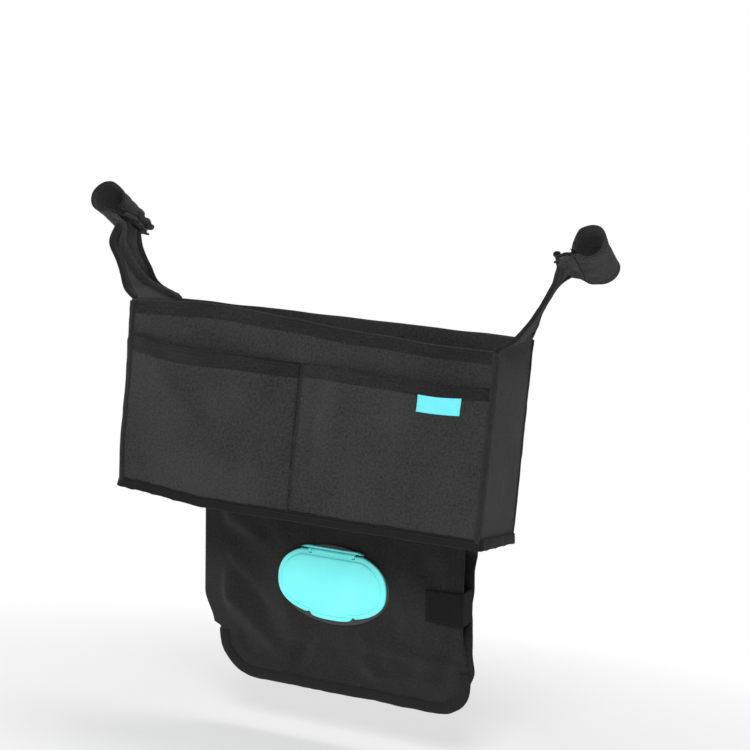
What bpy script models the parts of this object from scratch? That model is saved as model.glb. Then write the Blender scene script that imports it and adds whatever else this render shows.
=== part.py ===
"""Stroller organizer: an open fabric bag that hangs from two tubes by side wings and wrap cuffs.

A folded changing case hangs behind and below the bag. A moulded wipes dispenser with a
hinged lid sits in the case's front panel.

The origin is midway between the centres of the two cuffs. +X is the user's right, -Y is the
front with the pockets, and +Z is up. Every size is in metres.
"""
import math

import bmesh
import bpy
from mathutils import Matrix, Vector

# Clearance between pieces that touch
gap = 0.0003

# Cuffs and the tubes that they wrap
cuff_spacing = 0.500
tube_tilt = math.radians(25)
cuff_bore_radius = 0.013
cuff_length = 0.062
cuff_thickness = 0.0022
cuff_tail_reach = 0.042
cuff_patch_thickness = 0.0013
cuff_patch_inset = 0.004

# Bag body
bag_width = 0.380
bag_depth = 0.090
bag_height = 0.180
bag_front_ahead_of_cuffs = 0.058
bag_rim_below_cuffs = 0.0855
back_rise = 0.006
panel_thickness = 0.0025
base_board_thickness = 0.0025
base_board_inset = 0.0008
rim_hem_height = 0.020
rim_hem_thickness = 0.0007

# Side wings, which rise from the side panels to the cuffs
wing_thickness = 0.0024
wing_top_front = -0.030
wing_top_back = 0.010
wing_top_inboard = 0.020
wing_lap = 0.010
wing_bend_drop = 0.006
# Each wing station gives the share of the rise, of the outward lean and of the shift in depth
wing_front_stations = ((0.12, 0.34, 0.05), (0.30, 0.58, 0.12), (0.50, 0.78, 0.15), (0.72, 0.96, 0.15))
wing_back_stations = ((0.10, 0.14, 0.45), (0.30, 0.33, 0.93), (0.54, 0.47, 1.18), (0.80, 0.72, 1.30))
wing_binding_leg = 0.008
wing_binding_thickness = 0.001
wing_binding_tail_margin = 5

# Front pockets
pocket_thickness = 0.0016
pocket_mouth_below_rim = 0.036
pocket_side_margin = 0.002
pocket_seam_x = -0.003
pocket_hem_height = 0.013
pocket_hem_thickness = 0.0006
left_pocket_fullness = 0.011
right_pocket_fullness = 0.009
label_width = 0.040
label_height = 0.017
label_thickness = 0.0008
label_right_margin = 0.0285
label_below_mouth = 0.015

# Dividers inside the bag
divider_thickness = 0.0016
cup_space_width = 0.094
divider_height = 0.125

# Binding lip around the base seam
lip_height = 0.0095
lip_thickness = 0.0022
lip_drop = 0.0050
lip_flare = 0.0010
lip_back_return = 0.012
lip_corner_radius = 0.003

# Changing case behind and below the bag
case_tilt = math.radians(10)
case_width = 0.280
case_length = 0.183
case_top = 0.004
case_cover_thickness = 0.002
case_depth = 0.021
case_full_top = 0.032
case_full_end = 0.100
case_thin_start = 0.132
case_lower_width = 0.263
case_shift = -0.0035
case_sway = 0.0155
case_left_corner = 0.042
case_right_corner = 0.028
case_binding_leg = 0.009
case_binding_thickness = 0.001
case_binding_start = 0.140
pad_layer = 0.0032
pad_margin = 0.009
pad_top = 0.036
lining_thickness = 0.0008
lining_margin = 0.004
lining_top = 0.023
closure_tab_width = 0.032
closure_tab_centre = 0.078
closure_tab_reach = 0.036
closure_tab_thickness = 0.0018
closure_patch_thickness = 0.0012
closure_patch_margin = 0.003

# Hanger that holds the case on the bag's back
hanger_width = 0.240
hanger_rise = 0.070
hanger_strip_height = 0.045
hanger_strip_thickness = 0.0012
hanger_strip_margin = 0.008
hanger_bend_height = 0.006

# Wipes dispenser, measured down the case from the bag's base
dispenser_centre = 0.0745
dispenser_hinge = 0.0415
lid_width = 0.117
lid_upper_reach = 0.0375
lid_lower_reach = 0.0345
thumb_lobe_width = 0.046
thumb_lobe_drop = 0.0045
lid_skirt = 0.0028
lid_dome = 0.0028
lid_wall = 0.0014
flange_width = 0.122
flange_reach = 0.0400
flange_thickness = 0.002
opening_width = 0.082
opening_height = 0.038
neck_wall = 0.0025
neck_depth = 0.005
seal_rim_height = 0.002
hinge_height = 0.0045
barrel_radius = 0.0019
barrel_length = 0.043
pip_radius = 0.0011
ear_radius = 0.0025
ear_thickness = 0.003
hinge_clearance = 0.0003
lid_profile = ((1.0, 0.0), (0.975, 0.30), (0.90, 0.62), (0.60, 0.90), (0.25, 1.0))

# Points on a round outline, and how far a cutting shape runs past what it cuts
outline_points = 64
cut_overrun = 0.010

# Places that follow from the sizes
half_width = bag_width / 2
front_y = -bag_front_ahead_of_cuffs
back_y = front_y + bag_depth
rim_z = -bag_rim_below_cuffs
base_z = rim_z - bag_height
back_rim_z = rim_z + back_rise
inner_front_y = front_y + panel_thickness
inner_back_y = back_y - panel_thickness
pocket_mouth_z = rim_z - pocket_mouth_below_rim
pocket_foot_z = base_z - lip_drop + lip_height + gap
floor_top_z = base_z + panel_thickness + gap + base_board_thickness
tube_axis = Vector((0, math.cos(tube_tilt), -math.sin(tube_tilt)))
tube_up = Vector((0, math.sin(tube_tilt), math.cos(tube_tilt)))
cuff_outer_radius = cuff_bore_radius + cuff_thickness
hanger_y = back_y + gap + hanger_strip_thickness + gap + hanger_strip_thickness + gap
case_origin = Vector((0, back_y + 0.001, base_z))
hook_face = -(case_depth - case_cover_thickness)
lining_face = hook_face + gap + pad_layer + gap + pad_layer + gap


def clear_scene():
    for scene_object in list(bpy.data.objects):
        bpy.data.objects.remove(scene_object, do_unlink=True)


def make_material(name, colour, roughness):
    material = bpy.data.materials.new(name)
    material.use_nodes = True
    shader = material.node_tree.nodes["Principled BSDF"]
    shader.inputs["Base Color"].default_value = (*colour, 1)
    shader.inputs["Roughness"].default_value = roughness
    shader.inputs["Metallic"].default_value = 0
    material.diffuse_color = (*colour, 1)
    return material


def make_object(name, vertices, faces, material, parent=None, location=(0, 0, 0)):
    mesh = bpy.data.meshes.new(name)
    mesh.from_pydata([tuple(point) for point in vertices], [], faces)
    work = bmesh.new()
    work.from_mesh(mesh)
    bmesh.ops.recalc_face_normals(work, faces=work.faces)
    work.to_mesh(mesh)
    work.free()
    made = bpy.data.objects.new(name, mesh)
    bpy.context.collection.objects.link(made)
    made.data.materials.append(material)
    made.parent = parent
    made.location = location
    return made


def block(name, low, high, material, parent=None):
    corners = [(x, y, z) for x in (low[0], high[0]) for y in (low[1], high[1]) for z in (low[2], high[2])]
    faces = [(0, 1, 3, 2), (4, 6, 7, 5), (0, 4, 5, 1), (2, 3, 7, 6), (0, 2, 6, 4), (1, 5, 7, 3)]
    return make_object(name, corners, faces, material, parent)


def loft(name, rings, material, parent=None, closed=False, location=(0, 0, 0)):
    """Joins closed loops of points into one solid, with caps unless the run of loops is closed."""
    count = len(rings[0])
    vertices = [point for ring in rings for point in ring]
    faces = []
    last = len(rings) if closed else len(rings) - 1
    for row in range(last):
        here = row * count
        there = ((row + 1) % len(rings)) * count
        for step in range(count):
            after = (step + 1) % count
            faces.append((here + step, here + after, there + after, there + step))
    if not closed:
        faces.append(tuple(range(count)))
        faces.append(tuple(range(len(vertices) - count, len(vertices))))
    return make_object(name, vertices, faces, material, parent, location)


def thick_grid(name, near, far, material, parent=None):
    """Closes two matching grids of points, the two faces of a sheet, into one solid."""
    rows, columns = len(near), len(near[0])
    vertices = [point for row in near for point in row] + [point for row in far for point in row]
    offset = rows * columns
    faces = []
    for row in range(rows - 1):
        for column in range(columns - 1):
            corner = row * columns + column
            quad = (corner, corner + 1, corner + columns + 1, corner + columns)
            faces.append(quad)
            faces.append(tuple(index + offset for index in reversed(quad)))
    rim = [column for column in range(columns)]
    rim += [row * columns + columns - 1 for row in range(1, rows)]
    rim += [(rows - 1) * columns + column for column in range(columns - 2, -1, -1)]
    rim += [row * columns for row in range(rows - 2, 0, -1)]
    for step, start in enumerate(rim):
        end = rim[(step + 1) % len(rim)]
        faces.append((end, start, start + offset, end + offset))
    return make_object(name, vertices, faces, material, parent)


def grid_normals(grid):
    """Unit normal at each point of a grid, from its neighbours."""
    rows, columns = len(grid), len(grid[0])
    normals = []
    for row in range(rows):
        line = []
        for column in range(columns):
            along = grid[min(row + 1, rows - 1)][column] - grid[max(row - 1, 0)][column]
            across = grid[row][min(column + 1, columns - 1)] - grid[row][max(column - 1, 0)]
            line.append(along.cross(across).normalized())
        normals.append(line)
    return normals


def smooth_points(points, steps):
    """Reads points from a smooth curve through the given ones."""
    result = []
    for index in range(len(points) - 1):
        before = points[max(index - 1, 0)]
        start, end = points[index], points[index + 1]
        after = points[min(index + 2, len(points) - 1)]
        for step in range(steps):
            t = step / steps
            result.append(0.5 * (2 * start + (end - before) * t
                                 + (2 * before - 5 * start + 4 * end - after) * t ** 2
                                 + (3 * start - before - 3 * end + after) * t ** 3))
    result.append(points[-1].copy())
    return result


def cut(target, cutter):
    """Takes one shape out of another."""
    cutter.hide_render = True
    cutter.display_type = 'WIRE'
    modifier = target.modifiers.new("Cut_" + cutter.name, 'BOOLEAN')
    modifier.operation = 'DIFFERENCE'
    modifier.object = cutter


def fuse(target, addition):
    """Makes one moulded piece of two shapes."""
    addition.hide_render = True
    addition.display_type = 'WIRE'
    modifier = target.modifiers.new("Fuse_" + addition.name, 'BOOLEAN')
    modifier.operation = 'UNION'
    modifier.object = addition


def make_wall(name, face_y, outward, top_z, fabric):
    """Front or back wall of the bag, thicker where its top is turned over as a hem."""
    inner_y = face_y - outward * panel_thickness
    hem_y = face_y + outward * rim_hem_thickness
    hem_z = top_z - rim_hem_height
    section = ((inner_y, base_z), (inner_y, top_z), (hem_y, top_z),
               (hem_y, hem_z), (face_y, hem_z), (face_y, base_z))
    loft(name, [[Vector((x, y, z)) for y, z in section] for x in (-half_width, half_width)], fabric)


def make_bag_panels(fabric, board):
    """Front, back and bottom panels, and the board that stiffens the base."""
    make_wall("front_panel", front_y, -1, rim_z, fabric)
    make_wall("back_panel", back_y, 1, back_rim_z, fabric)
    inside = half_width - wing_thickness - gap
    block("bottom_panel", (-inside, inner_front_y + gap, base_z),
          (inside, inner_back_y - gap, base_z + panel_thickness), fabric)
    board_x = inside - base_board_inset
    block("base_board", (-board_x, inner_front_y + gap + base_board_inset, base_z + panel_thickness + gap),
          (board_x, inner_back_y - gap - base_board_inset, floor_top_z), board)


def cuff_point(side, across, along, above):
    """A point near a cuff: across is outboard of its centre, along its tube and above its axis."""
    return Vector((side * (cuff_spacing / 2 + across), 0, 0)) + tube_axis * along + tube_up * above


def wing_edges(side):
    """Front and back edge of a side panel and its wing, bottom to top, on the outer face."""
    top_level = -cuff_outer_radius - gap - wing_thickness
    tops = [cuff_point(side, -wing_top_inboard, along, top_level - wing_bend_drop)
            for along in (wing_top_front, wing_top_back)]
    laps = [cuff_point(side, wing_lap - wing_top_inboard, along, top_level)
            for along in (wing_top_front, wing_top_back)]
    edges = []
    for depth, start_z, stations, top, lap in (
            (inner_front_y + gap, rim_z, wing_front_stations, tops[0], laps[0]),
            (inner_back_y - gap, back_rim_z, wing_back_stations, tops[1], laps[1])):
        start = Vector((side * half_width, depth, start_z))
        points = [start]
        for rise, lean, shift in stations:
            points.append(Vector((start.x + lean * (top.x - start.x), start.y + shift * (top.y - start.y),
                                  start.z + rise * (top.z - start.z))))
        points += [top, lap]
        foot = Vector((side * half_width, depth, base_z))
        middle = foot.lerp(start, 0.5)
        edges.append([foot, middle] + smooth_points(points, 3))
    return edges


def make_side_panel(name, side, fabric):
    """Side panel and wing, cut as one piece."""
    front_edge, back_edge = wing_edges(side)
    columns = 7
    outer = [[front.lerp(back, column / (columns - 1)) for column in range(columns)]
             for front, back in zip(front_edge, back_edge)]
    normals = grid_normals(outer)
    inner = [[point + side * normal * wing_thickness for point, normal in zip(row, line)]
             for row, line in zip(outer, normals)]
    return thick_grid(name, outer, inner, fabric), outer, normals


def make_wing_binding(name, side, outer, normals, tape):
    """Binding tape folded over the front edge of a wing."""
    first = 3
    rings = []
    for row in range(first, len(outer) - wing_binding_tail_margin):
        edge = outer[row][0]
        inward = (outer[row][1] - edge).normalized()
        outward = -side * normals[row][0]
        legs = ((wing_binding_leg, gap), (-gap, gap), (-gap, -wing_thickness - gap),
                (wing_binding_leg, -wing_thickness - gap))
        thick = wing_binding_thickness
        skins = ((wing_binding_leg, -wing_thickness - gap - thick),
                 (-gap - thick, -wing_thickness - gap - thick),
                 (-gap - thick, gap + thick), (wing_binding_leg, gap + thick))
        rings.append([edge + inward * a + outward * b for a, b in legs + skins])
    return loft(name, rings, tape)


def pocket_face(low_x, high_x, fullness, x, z):
    """Depth of a pocket's inner face: it is sewn down at its sides and base, and full at its mouth."""
    across = (x - low_x) / (high_x - low_x)
    up = (z - pocket_foot_z) / (pocket_mouth_z - pocket_foot_z)
    swell = max(4 * across * (1 - across), 0) ** 0.6 * math.sin(math.pi / 2 * min(up / 0.8, 1))
    return front_y - gap - fullness * swell


def make_pocket(name, low_x, high_x, fullness, fabric):
    columns, rows = 14, 6
    hem_z = pocket_mouth_z - pocket_hem_height
    rise = (hem_z - pocket_foot_z) / rows
    levels = [(pocket_foot_z + rise * row, pocket_thickness) for row in range(rows + 1)]
    hem_thickness = pocket_thickness + pocket_hem_thickness
    levels += [(hem_z + pocket_hem_thickness, hem_thickness), (pocket_mouth_z, hem_thickness)]
    near, far = [], []
    for z, thickness in levels:
        near_line, far_line = [], []
        for column in range(columns):
            x = low_x + (high_x - low_x) * (1 - math.cos(math.pi * column / (columns - 1))) / 2
            y = pocket_face(low_x, high_x, fullness, x, z)
            near_line.append(Vector((x, y, z)))
            far_line.append(Vector((x, y - thickness, z)))
        near.append(near_line)
        far.append(far_line)
    return thick_grid(name, near, far, fabric)


def make_pockets(fabric, label):
    """Two patch pockets with a shared seam, and the bare label on the right one."""
    left_x = -half_width + pocket_side_margin
    right_x = half_width - pocket_side_margin
    make_pocket("left_pocket", left_x, pocket_seam_x - gap, left_pocket_fullness, fabric)
    make_pocket("right_pocket", pocket_seam_x + gap, right_x, right_pocket_fullness, fabric)
    columns = 6
    label_x = half_width - label_right_margin - label_width
    top = pocket_mouth_z - label_below_mouth
    near, far = [], []
    for z in (top - label_height, top - label_height / 2, top):
        line = []
        for column in range(columns):
            x = label_x + label_width * column / (columns - 1)
            y = pocket_face(pocket_seam_x + gap, right_x, right_pocket_fullness, x, z)
            line.append(Vector((x, y - pocket_thickness - 2 * gap, z)))
        near.append(line)
        far.append([point - Vector((0, label_thickness, 0)) for point in line])
    thick_grid("pocket_label", near, far, label)


def make_dividers(fabric):
    """Two upright dividers, which keep a cup space at each end of the bag."""
    wall_x = half_width - wing_thickness - cup_space_width
    for name, side in (("left_divider", -1), ("right_divider", 1)):
        near, far = sorted((side * wall_x, side * (wall_x - divider_thickness)))
        block(name, (near, inner_front_y + gap, floor_top_z + gap),
              (far, inner_back_y - gap, floor_top_z + gap + divider_height), fabric)


def lip_outline(offset, thickness):
    """Plan of the lip: along the front and both sides, with a short return at each back corner."""
    outline = []
    for grow, reverse in ((offset + thickness, False), (offset, True)):
        x, front, back = half_width + grow, front_y - grow, back_y + grow
        radius = lip_corner_radius if not reverse else gap / 2
        run = []
        end_x = half_width - lip_back_return
        run.append((-end_x, back))
        corners = ((-x + radius, back - radius, 90), (-x + radius, front + radius, 180),
                   (x - radius, front + radius, 270), (x - radius, back - radius, 0))
        for centre_x, centre_y, start in corners:
            for step in range(4):
                angle = math.radians(start + 30 * step)
                run.append((centre_x + radius * math.cos(angle), centre_y + radius * math.sin(angle)))
        run.append((end_x, back))
        outline += run[::-1] if reverse else run
    return outline


def make_lip(tape):
    """Bound seam that stands out around the base as a lip."""
    low = base_z - lip_drop
    top_plan = lip_outline(gap, lip_thickness)
    low_plan = lip_outline(gap + lip_flare, lip_thickness)
    rings = [[Vector((x, y, low)) for x, y in low_plan],
             [Vector((x, y, low + lip_height)) for x, y in top_plan]]
    return loft("base_seam_binding", rings, tape)


def strip_outline(centre_line, thickness):
    """Closed outline of a strip of even thickness along a flat line of points."""
    left, right = [], []
    for index, point in enumerate(centre_line):
        before = centre_line[max(index - 1, 0)]
        after = centre_line[min(index + 1, len(centre_line) - 1)]
        heading = (after - before).normalized()
        side = Vector((-heading.y, heading.x)) * thickness / 2
        left.append(point + side)
        right.append(point - side)
    return left + right[::-1]


def cuff_centre_line():
    """Section of a cuff: a lower tail, a loop around the tube, and an upper tail."""
    radius = cuff_bore_radius + cuff_thickness / 2
    lower = -radius
    upper = lower + cuff_thickness + 2 * cuff_patch_thickness + 3 * gap
    turn_end = math.pi + math.asin(-upper / radius)
    line = [Vector((-cuff_tail_reach, lower)), Vector((-cuff_tail_reach / 2, lower))]
    steps = 20
    start = -math.pi / 2
    for step in range(steps + 1):
        angle = start + (turn_end - start) * step / steps
        line.append(Vector((radius * math.cos(angle), radius * math.sin(angle))))
    end_x = line[-1].x
    line.append(Vector((end_x - cuff_thickness, upper)))
    line.append(Vector((-cuff_tail_reach, upper)))
    return line


def make_cuff(prefix, side, fabric, hook, loop):
    """Wrap cuff around a stroller tube, with the hook and loop patches between its tails."""
    outline = strip_outline(cuff_centre_line(), cuff_thickness)
    rings = [[cuff_point(side, p.x, along, p.y) for p in outline]
             for along in (-cuff_length / 2, cuff_length / 2)]
    loft(prefix + "_cuff", rings, fabric)
    lower_face = -cuff_bore_radius + gap
    half_patch = cuff_length / 2 - cuff_patch_inset
    inner_end = -cuff_bore_radius - cuff_patch_inset
    for name, low, material in (("_cuff_hook_patch", lower_face, hook),
                                ("_cuff_loop_patch", lower_face + cuff_patch_thickness + gap, loop)):
        section = [(-cuff_tail_reach + cuff_patch_inset / 2, low), (inner_end, low),
                   (inner_end, low + cuff_patch_thickness),
                   (-cuff_tail_reach + cuff_patch_inset / 2, low + cuff_patch_thickness)]
        rings = [[cuff_point(side, across, along, above) for across, above in section]
                 for along in (-half_patch, half_patch)]
        loft(prefix + name, rings, material)


def make_case_frame():
    """Empty at the top of the case's front face, leaning back as the case hangs."""
    frame = bpy.data.objects.new("case_frame", None)
    bpy.context.collection.objects.link(frame)
    frame.location = case_origin
    frame.rotation_euler = (case_tilt, 0, 0)
    return frame


def case_edges(down):
    """Left and right edge of the case at a distance down from the bag's base."""
    share = min(max((down - case_full_end) / (case_binding_start - case_full_end), 0), 1)
    ease = share * share * (3 - 2 * share)
    half = (case_width + (case_lower_width - case_width) * ease) / 2
    centre = case_shift + case_sway * ease
    cuts = []
    for radius in (case_left_corner, case_right_corner):
        past = max(down - (case_length - radius), 0)
        cuts.append(radius - math.sqrt(max(radius ** 2 - past ** 2, 0)))
    return centre - half + cuts[0], centre + half - cuts[1]


def case_rows(start):
    """Distances down the case at which its panels have a row of points."""
    full = [start + (case_full_end - start) * step / 4 for step in range(4)]
    taper = [case_full_end + (case_binding_start - case_full_end) * step / 5 for step in range(6)]
    corner = [case_length - case_left_corner * (1 - math.sin(math.radians(angle)))
              for angle in (12, 25, 40, 55, 68, 80, 90)]
    return full + taper + corner


def case_grid(rows, depth_at, columns=9):
    """Points of a case panel in the case frame: x, minus the height off the front face, minus down."""
    grid = []
    for down in rows:
        low, high = case_edges(down)
        grid.append([Vector((low + (high - low) * column / (columns - 1), -depth_at(down), -down))
                     for column in range(columns)])
    return grid


def make_case_front(frame, fabric):
    """Front panel of the case, with the dispenser's hole."""
    rows = case_rows(case_top)
    panel = thick_grid("case_front_panel", case_grid(rows, lambda down: 0),
                       case_grid(rows, lambda down: -case_cover_thickness), fabric, frame)
    hole = dispenser_outline(opening_width / 2 + neck_wall + gap, opening_height / 2 + neck_wall + gap)
    depths = (-cut_overrun, case_cover_thickness + cut_overrun)
    rings = [[Vector((x, depth, z)) for x, z in hole] for depth in depths]
    cut(panel, loft("front_hole_cutter", rings, fabric, frame, location=(0, 0, -dispenser_centre)))


def back_cover_face(down):
    """Height of the back cover's inner face off the case's front face."""
    thin = -case_cover_thickness - gap
    if down < case_full_top:
        share = (down - case_top) / (case_full_top - case_top)
        return thin + (hook_face - thin) * math.sin(math.pi / 2 * max(share, 0))
    if down < case_full_end:
        return hook_face
    share = min((down - case_full_end) / (case_thin_start - case_full_end), 1)
    return hook_face + (thin - hook_face) * share * share * (3 - 2 * share)


def make_case_back(frame, fabric):
    """Back cover of the case. Its top runs on up the bag's back as the hanger flap."""
    top_fill = [case_top + (case_full_top - case_top) * step / 6 for step in range(1, 6)]
    rows = top_fill + case_rows(case_full_top)
    inner = case_grid(rows, back_cover_face)
    to_world = Matrix.Translation(case_origin) @ Matrix.Rotation(case_tilt, 4, 'X')
    inner = [[to_world @ point for point in row] for row in inner]
    flap = []
    for z in (base_z + hanger_rise, base_z + hanger_rise / 2, base_z + hanger_bend_height, base_z):
        flap.append([Vector((hanger_width * (column / 8 - 0.5), hanger_y, z)) for column in range(9)])
    inner = flap + inner
    normals = grid_normals(inner)
    outer = [[point - normal * case_cover_thickness for point, normal in zip(row, line)]
             for row, line in zip(inner, normals)]
    thick_grid("case_back_panel", inner, outer, fabric)


def case_outline_path():
    """The case's lower edge, from its left side around the bottom to its right side."""
    rows = [down for down in case_rows(case_top) if down >= case_binding_start]
    left = [Vector((case_edges(down)[0], down)) for down in rows]
    right = [Vector((case_edges(down)[1], down)) for down in reversed(rows)]
    return left + right


def make_case_binding(frame, tape):
    """Binding tape folded over the case's lower edge."""
    path = case_outline_path()
    back = -2 * case_cover_thickness - 2 * gap
    thick = case_binding_thickness
    section = ((-case_binding_leg, gap), (gap, gap), (gap, back), (-case_binding_leg, back),
               (-case_binding_leg, back - thick), (gap + thick, back - thick),
               (gap + thick, gap + thick), (-case_binding_leg, gap + thick))
    rings = []
    for index, point in enumerate(path):
        heading = (path[min(index + 1, len(path) - 1)] - path[max(index - 1, 0)]).normalized()
        outward = Vector((-heading.y, heading.x))
        rings.append([Vector((point.x + outward.x * a, -b, -(point.y + outward.y * a))) for a, b in section])
    loft("case_binding", rings, tape, frame)


def make_case_inside(frame, fabric, padding):
    """Lining behind the wipes, and the changing pad folded once."""
    lining_x = case_width / 2 - lining_margin
    block("wipes_pocket_lining", (case_shift - lining_x, -lining_face - lining_thickness, -case_full_end),
          (case_shift + lining_x, -lining_face, -lining_top), fabric, frame)
    back = -hook_face - gap
    middle = back - pad_layer
    front = middle - gap - pad_layer
    section = [(back, -pad_top), (back, -case_full_end), (front, -case_full_end), (front, -pad_top),
               (front + pad_layer, -pad_top), (front + pad_layer, -case_full_end + pad_layer),
               (middle, -case_full_end + pad_layer), (middle, -pad_top)]
    half_pad = case_width / 2 - pad_margin
    rings = [[Vector((case_shift + x, y, z)) for y, z in section] for x in (-half_pad, half_pad)]
    loft("changing_pad", rings, padding, frame)


def make_closure(frame, fabric, hook):
    """Tab that comes from the back cover around the open side, and its hook patch."""
    edge = case_shift + case_width / 2
    inner_x = edge - closure_tab_reach
    front = gap + closure_patch_thickness + gap
    back = -case_depth - gap
    thick = closure_tab_thickness
    section = [(inner_x, front), (edge + gap, front), (edge + gap, back), (inner_x, back),
               (inner_x, back - thick), (edge + gap + thick, back - thick),
               (edge + gap + thick, front + thick), (inner_x, front + thick)]
    low = -closure_tab_centre - closure_tab_width / 2
    high = low + closure_tab_width
    rings = [[Vector((x, -n, z)) for x, n in section] for z in (low, high)]
    loft("closure_tab", rings, fabric, frame)
    margin = closure_patch_margin
    block("closure_hook_patch", (inner_x + margin, -gap - closure_patch_thickness, low + margin),
          (edge - margin, -gap, high - margin), hook, frame)


def make_hanger_strips(hook, loop):
    """Loop strip on the bag's back and hook strip on the flap."""
    top = base_z + hanger_rise - hanger_strip_margin
    x = hanger_width / 2 - hanger_strip_margin
    y = back_y + gap
    for name, material in (("hanger_loop_strip", loop), ("hanger_hook_strip", hook)):
        block(name, (-x, y, top - hanger_strip_height), (x, y + hanger_strip_thickness, top), material)
        y += hanger_strip_thickness + gap


def dispenser_outline(half_x, half_z):
    """Oval around the dispenser's centre, as x and height pairs."""
    return [(half_x * math.cos(turn), half_z * math.sin(turn))
            for turn in (2 * math.pi * step / outline_points for step in range(outline_points))]


def lid_outline():
    """Oval lid with a straight hinge edge at its top and a thumb lobe at its bottom."""
    hinge_rise = dispenser_centre - dispenser_hinge
    points = []
    for x, z in dispenser_outline(lid_width / 2, 1.0):
        z *= lid_upper_reach if z > 0 else lid_lower_reach
        z = min(z, hinge_rise)
        reach = 2 * x / thumb_lobe_width
        if z < 0 and abs(reach) < 1:
            z -= thumb_lobe_drop * math.sqrt(1 - reach * reach)
        points.append((x, z))
    return points


def hinge_cylinder(name, frame, radius, low, high, material):
    """Round bar on the hinge line, in the case frame."""
    sides = 24
    rings = []
    for x in (low, high):
        rings.append([Vector((x, radius * math.cos(math.radians(360 * step / sides)),
                              radius * math.sin(math.radians(360 * step / sides)))) for step in range(sides)])
    return loft(name, rings, material, frame, location=(0, -hinge_height, -dispenser_hinge))


def make_dispenser_base(frame, plastic):
    """Base of the dispenser: flange, neck through the panel, seal rim and two hinge ears."""
    opening = dispenser_outline(opening_width / 2, opening_height / 2)
    neck = dispenser_outline(opening_width / 2 + neck_wall, opening_height / 2 + neck_wall)
    flange = dispenser_outline(flange_width / 2, flange_reach)
    top = gap + flange_thickness
    levels = ((opening, -neck_depth), (opening, top + seal_rim_height), (neck, top + seal_rim_height),
              (neck, top), (flange, top), (flange, gap), (neck, gap), (neck, -neck_depth))
    rings = [[Vector((x, -n, z)) for x, z in outline] for outline, n in levels]
    base = loft("dispenser_base", rings, plastic, frame, closed=True, location=(0, 0, -dispenser_centre))
    for side in (-1, 1):
        inner = barrel_length / 2 + hinge_clearance
        low, high = sorted((side * inner, side * (inner + ear_thickness)))
        section = [(-ear_radius, -hinge_height + gap + flange_thickness / 2)]
        section += [(ear_radius * math.cos(math.radians(angle)), ear_radius * math.sin(math.radians(angle)))
                    for angle in range(180, -1, -20)]
        section.append((ear_radius, section[0][1]))
        rings = [[Vector((x, -n, z)) for z, n in section] for x in (low, high)]
        name = "ear_" + ("left" if side < 0 else "right")
        fuse(base, loft(name, rings, plastic, frame, location=(0, -hinge_height, -dispenser_hinge)))
    reach = barrel_length / 2 + ear_thickness + cut_overrun
    cut(base, hinge_cylinder("pip_hole_cutter", frame, pip_radius + hinge_clearance, -reach, reach, plastic))


def make_dispenser_lid(frame, plastic):
    """Domed lid, with its barrel and two pips turning in the base's ears."""
    outline = lid_outline()
    skirt_low = gap + flange_thickness + gap
    shoulder = skirt_low + lid_skirt
    wall = lid_wall / lid_lower_reach
    outer = [(1.0, skirt_low)] + [(share, shoulder + rise * lid_dome) for share, rise in lid_profile]
    inner = [(share - wall * share, n - lid_wall) for share, n in reversed(outer[1:])]
    inner.append((1.0 - wall, skirt_low))
    levels = outer + inner
    last_outer = len(outer) - 1
    lift = dispenser_centre - dispenser_hinge
    vertices = [Vector((share * x, hinge_height - n, share * z - lift))
                for share, n in levels for x, z in outline]
    count = len(outline)
    faces = []
    for level in range(len(levels)):
        if level == last_outer:
            continue
        here = level * count
        there = (level + 1) % len(levels) * count
        for step in range(count):
            after = (step + 1) % count
            faces.append((here + step, here + after, there + after, there + step))
    faces.append(tuple(range(last_outer * count, (last_outer + 1) * count)))
    faces.append(tuple(range((last_outer + 2) * count - 1, (last_outer + 1) * count - 1, -1)))
    lid = make_object("dispenser_lid", vertices, faces, plastic, frame, (0, -hinge_height, -dispenser_hinge))
    notch_reach = ear_radius + 2 * hinge_clearance
    notch_end = barrel_length / 2 + ear_thickness + 2 * hinge_clearance
    for side in (-1, 1):
        low, high = sorted((side * barrel_length / 2, side * notch_end))
        notch = block("notch_" + ("left" if side < 0 else "right"), (low, -cut_overrun, -notch_reach),
                      (high, cut_overrun, notch_reach), plastic, frame)
        notch.location = lid.location
        cut(lid, notch)
    end = barrel_length / 2
    fuse(lid, hinge_cylinder("lid_barrel", frame, barrel_radius, -end, end, plastic))
    reach = barrel_length / 2 + ear_thickness
    fuse(lid, hinge_cylinder("lid_pips", frame, pip_radius, -reach, reach, plastic))


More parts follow.
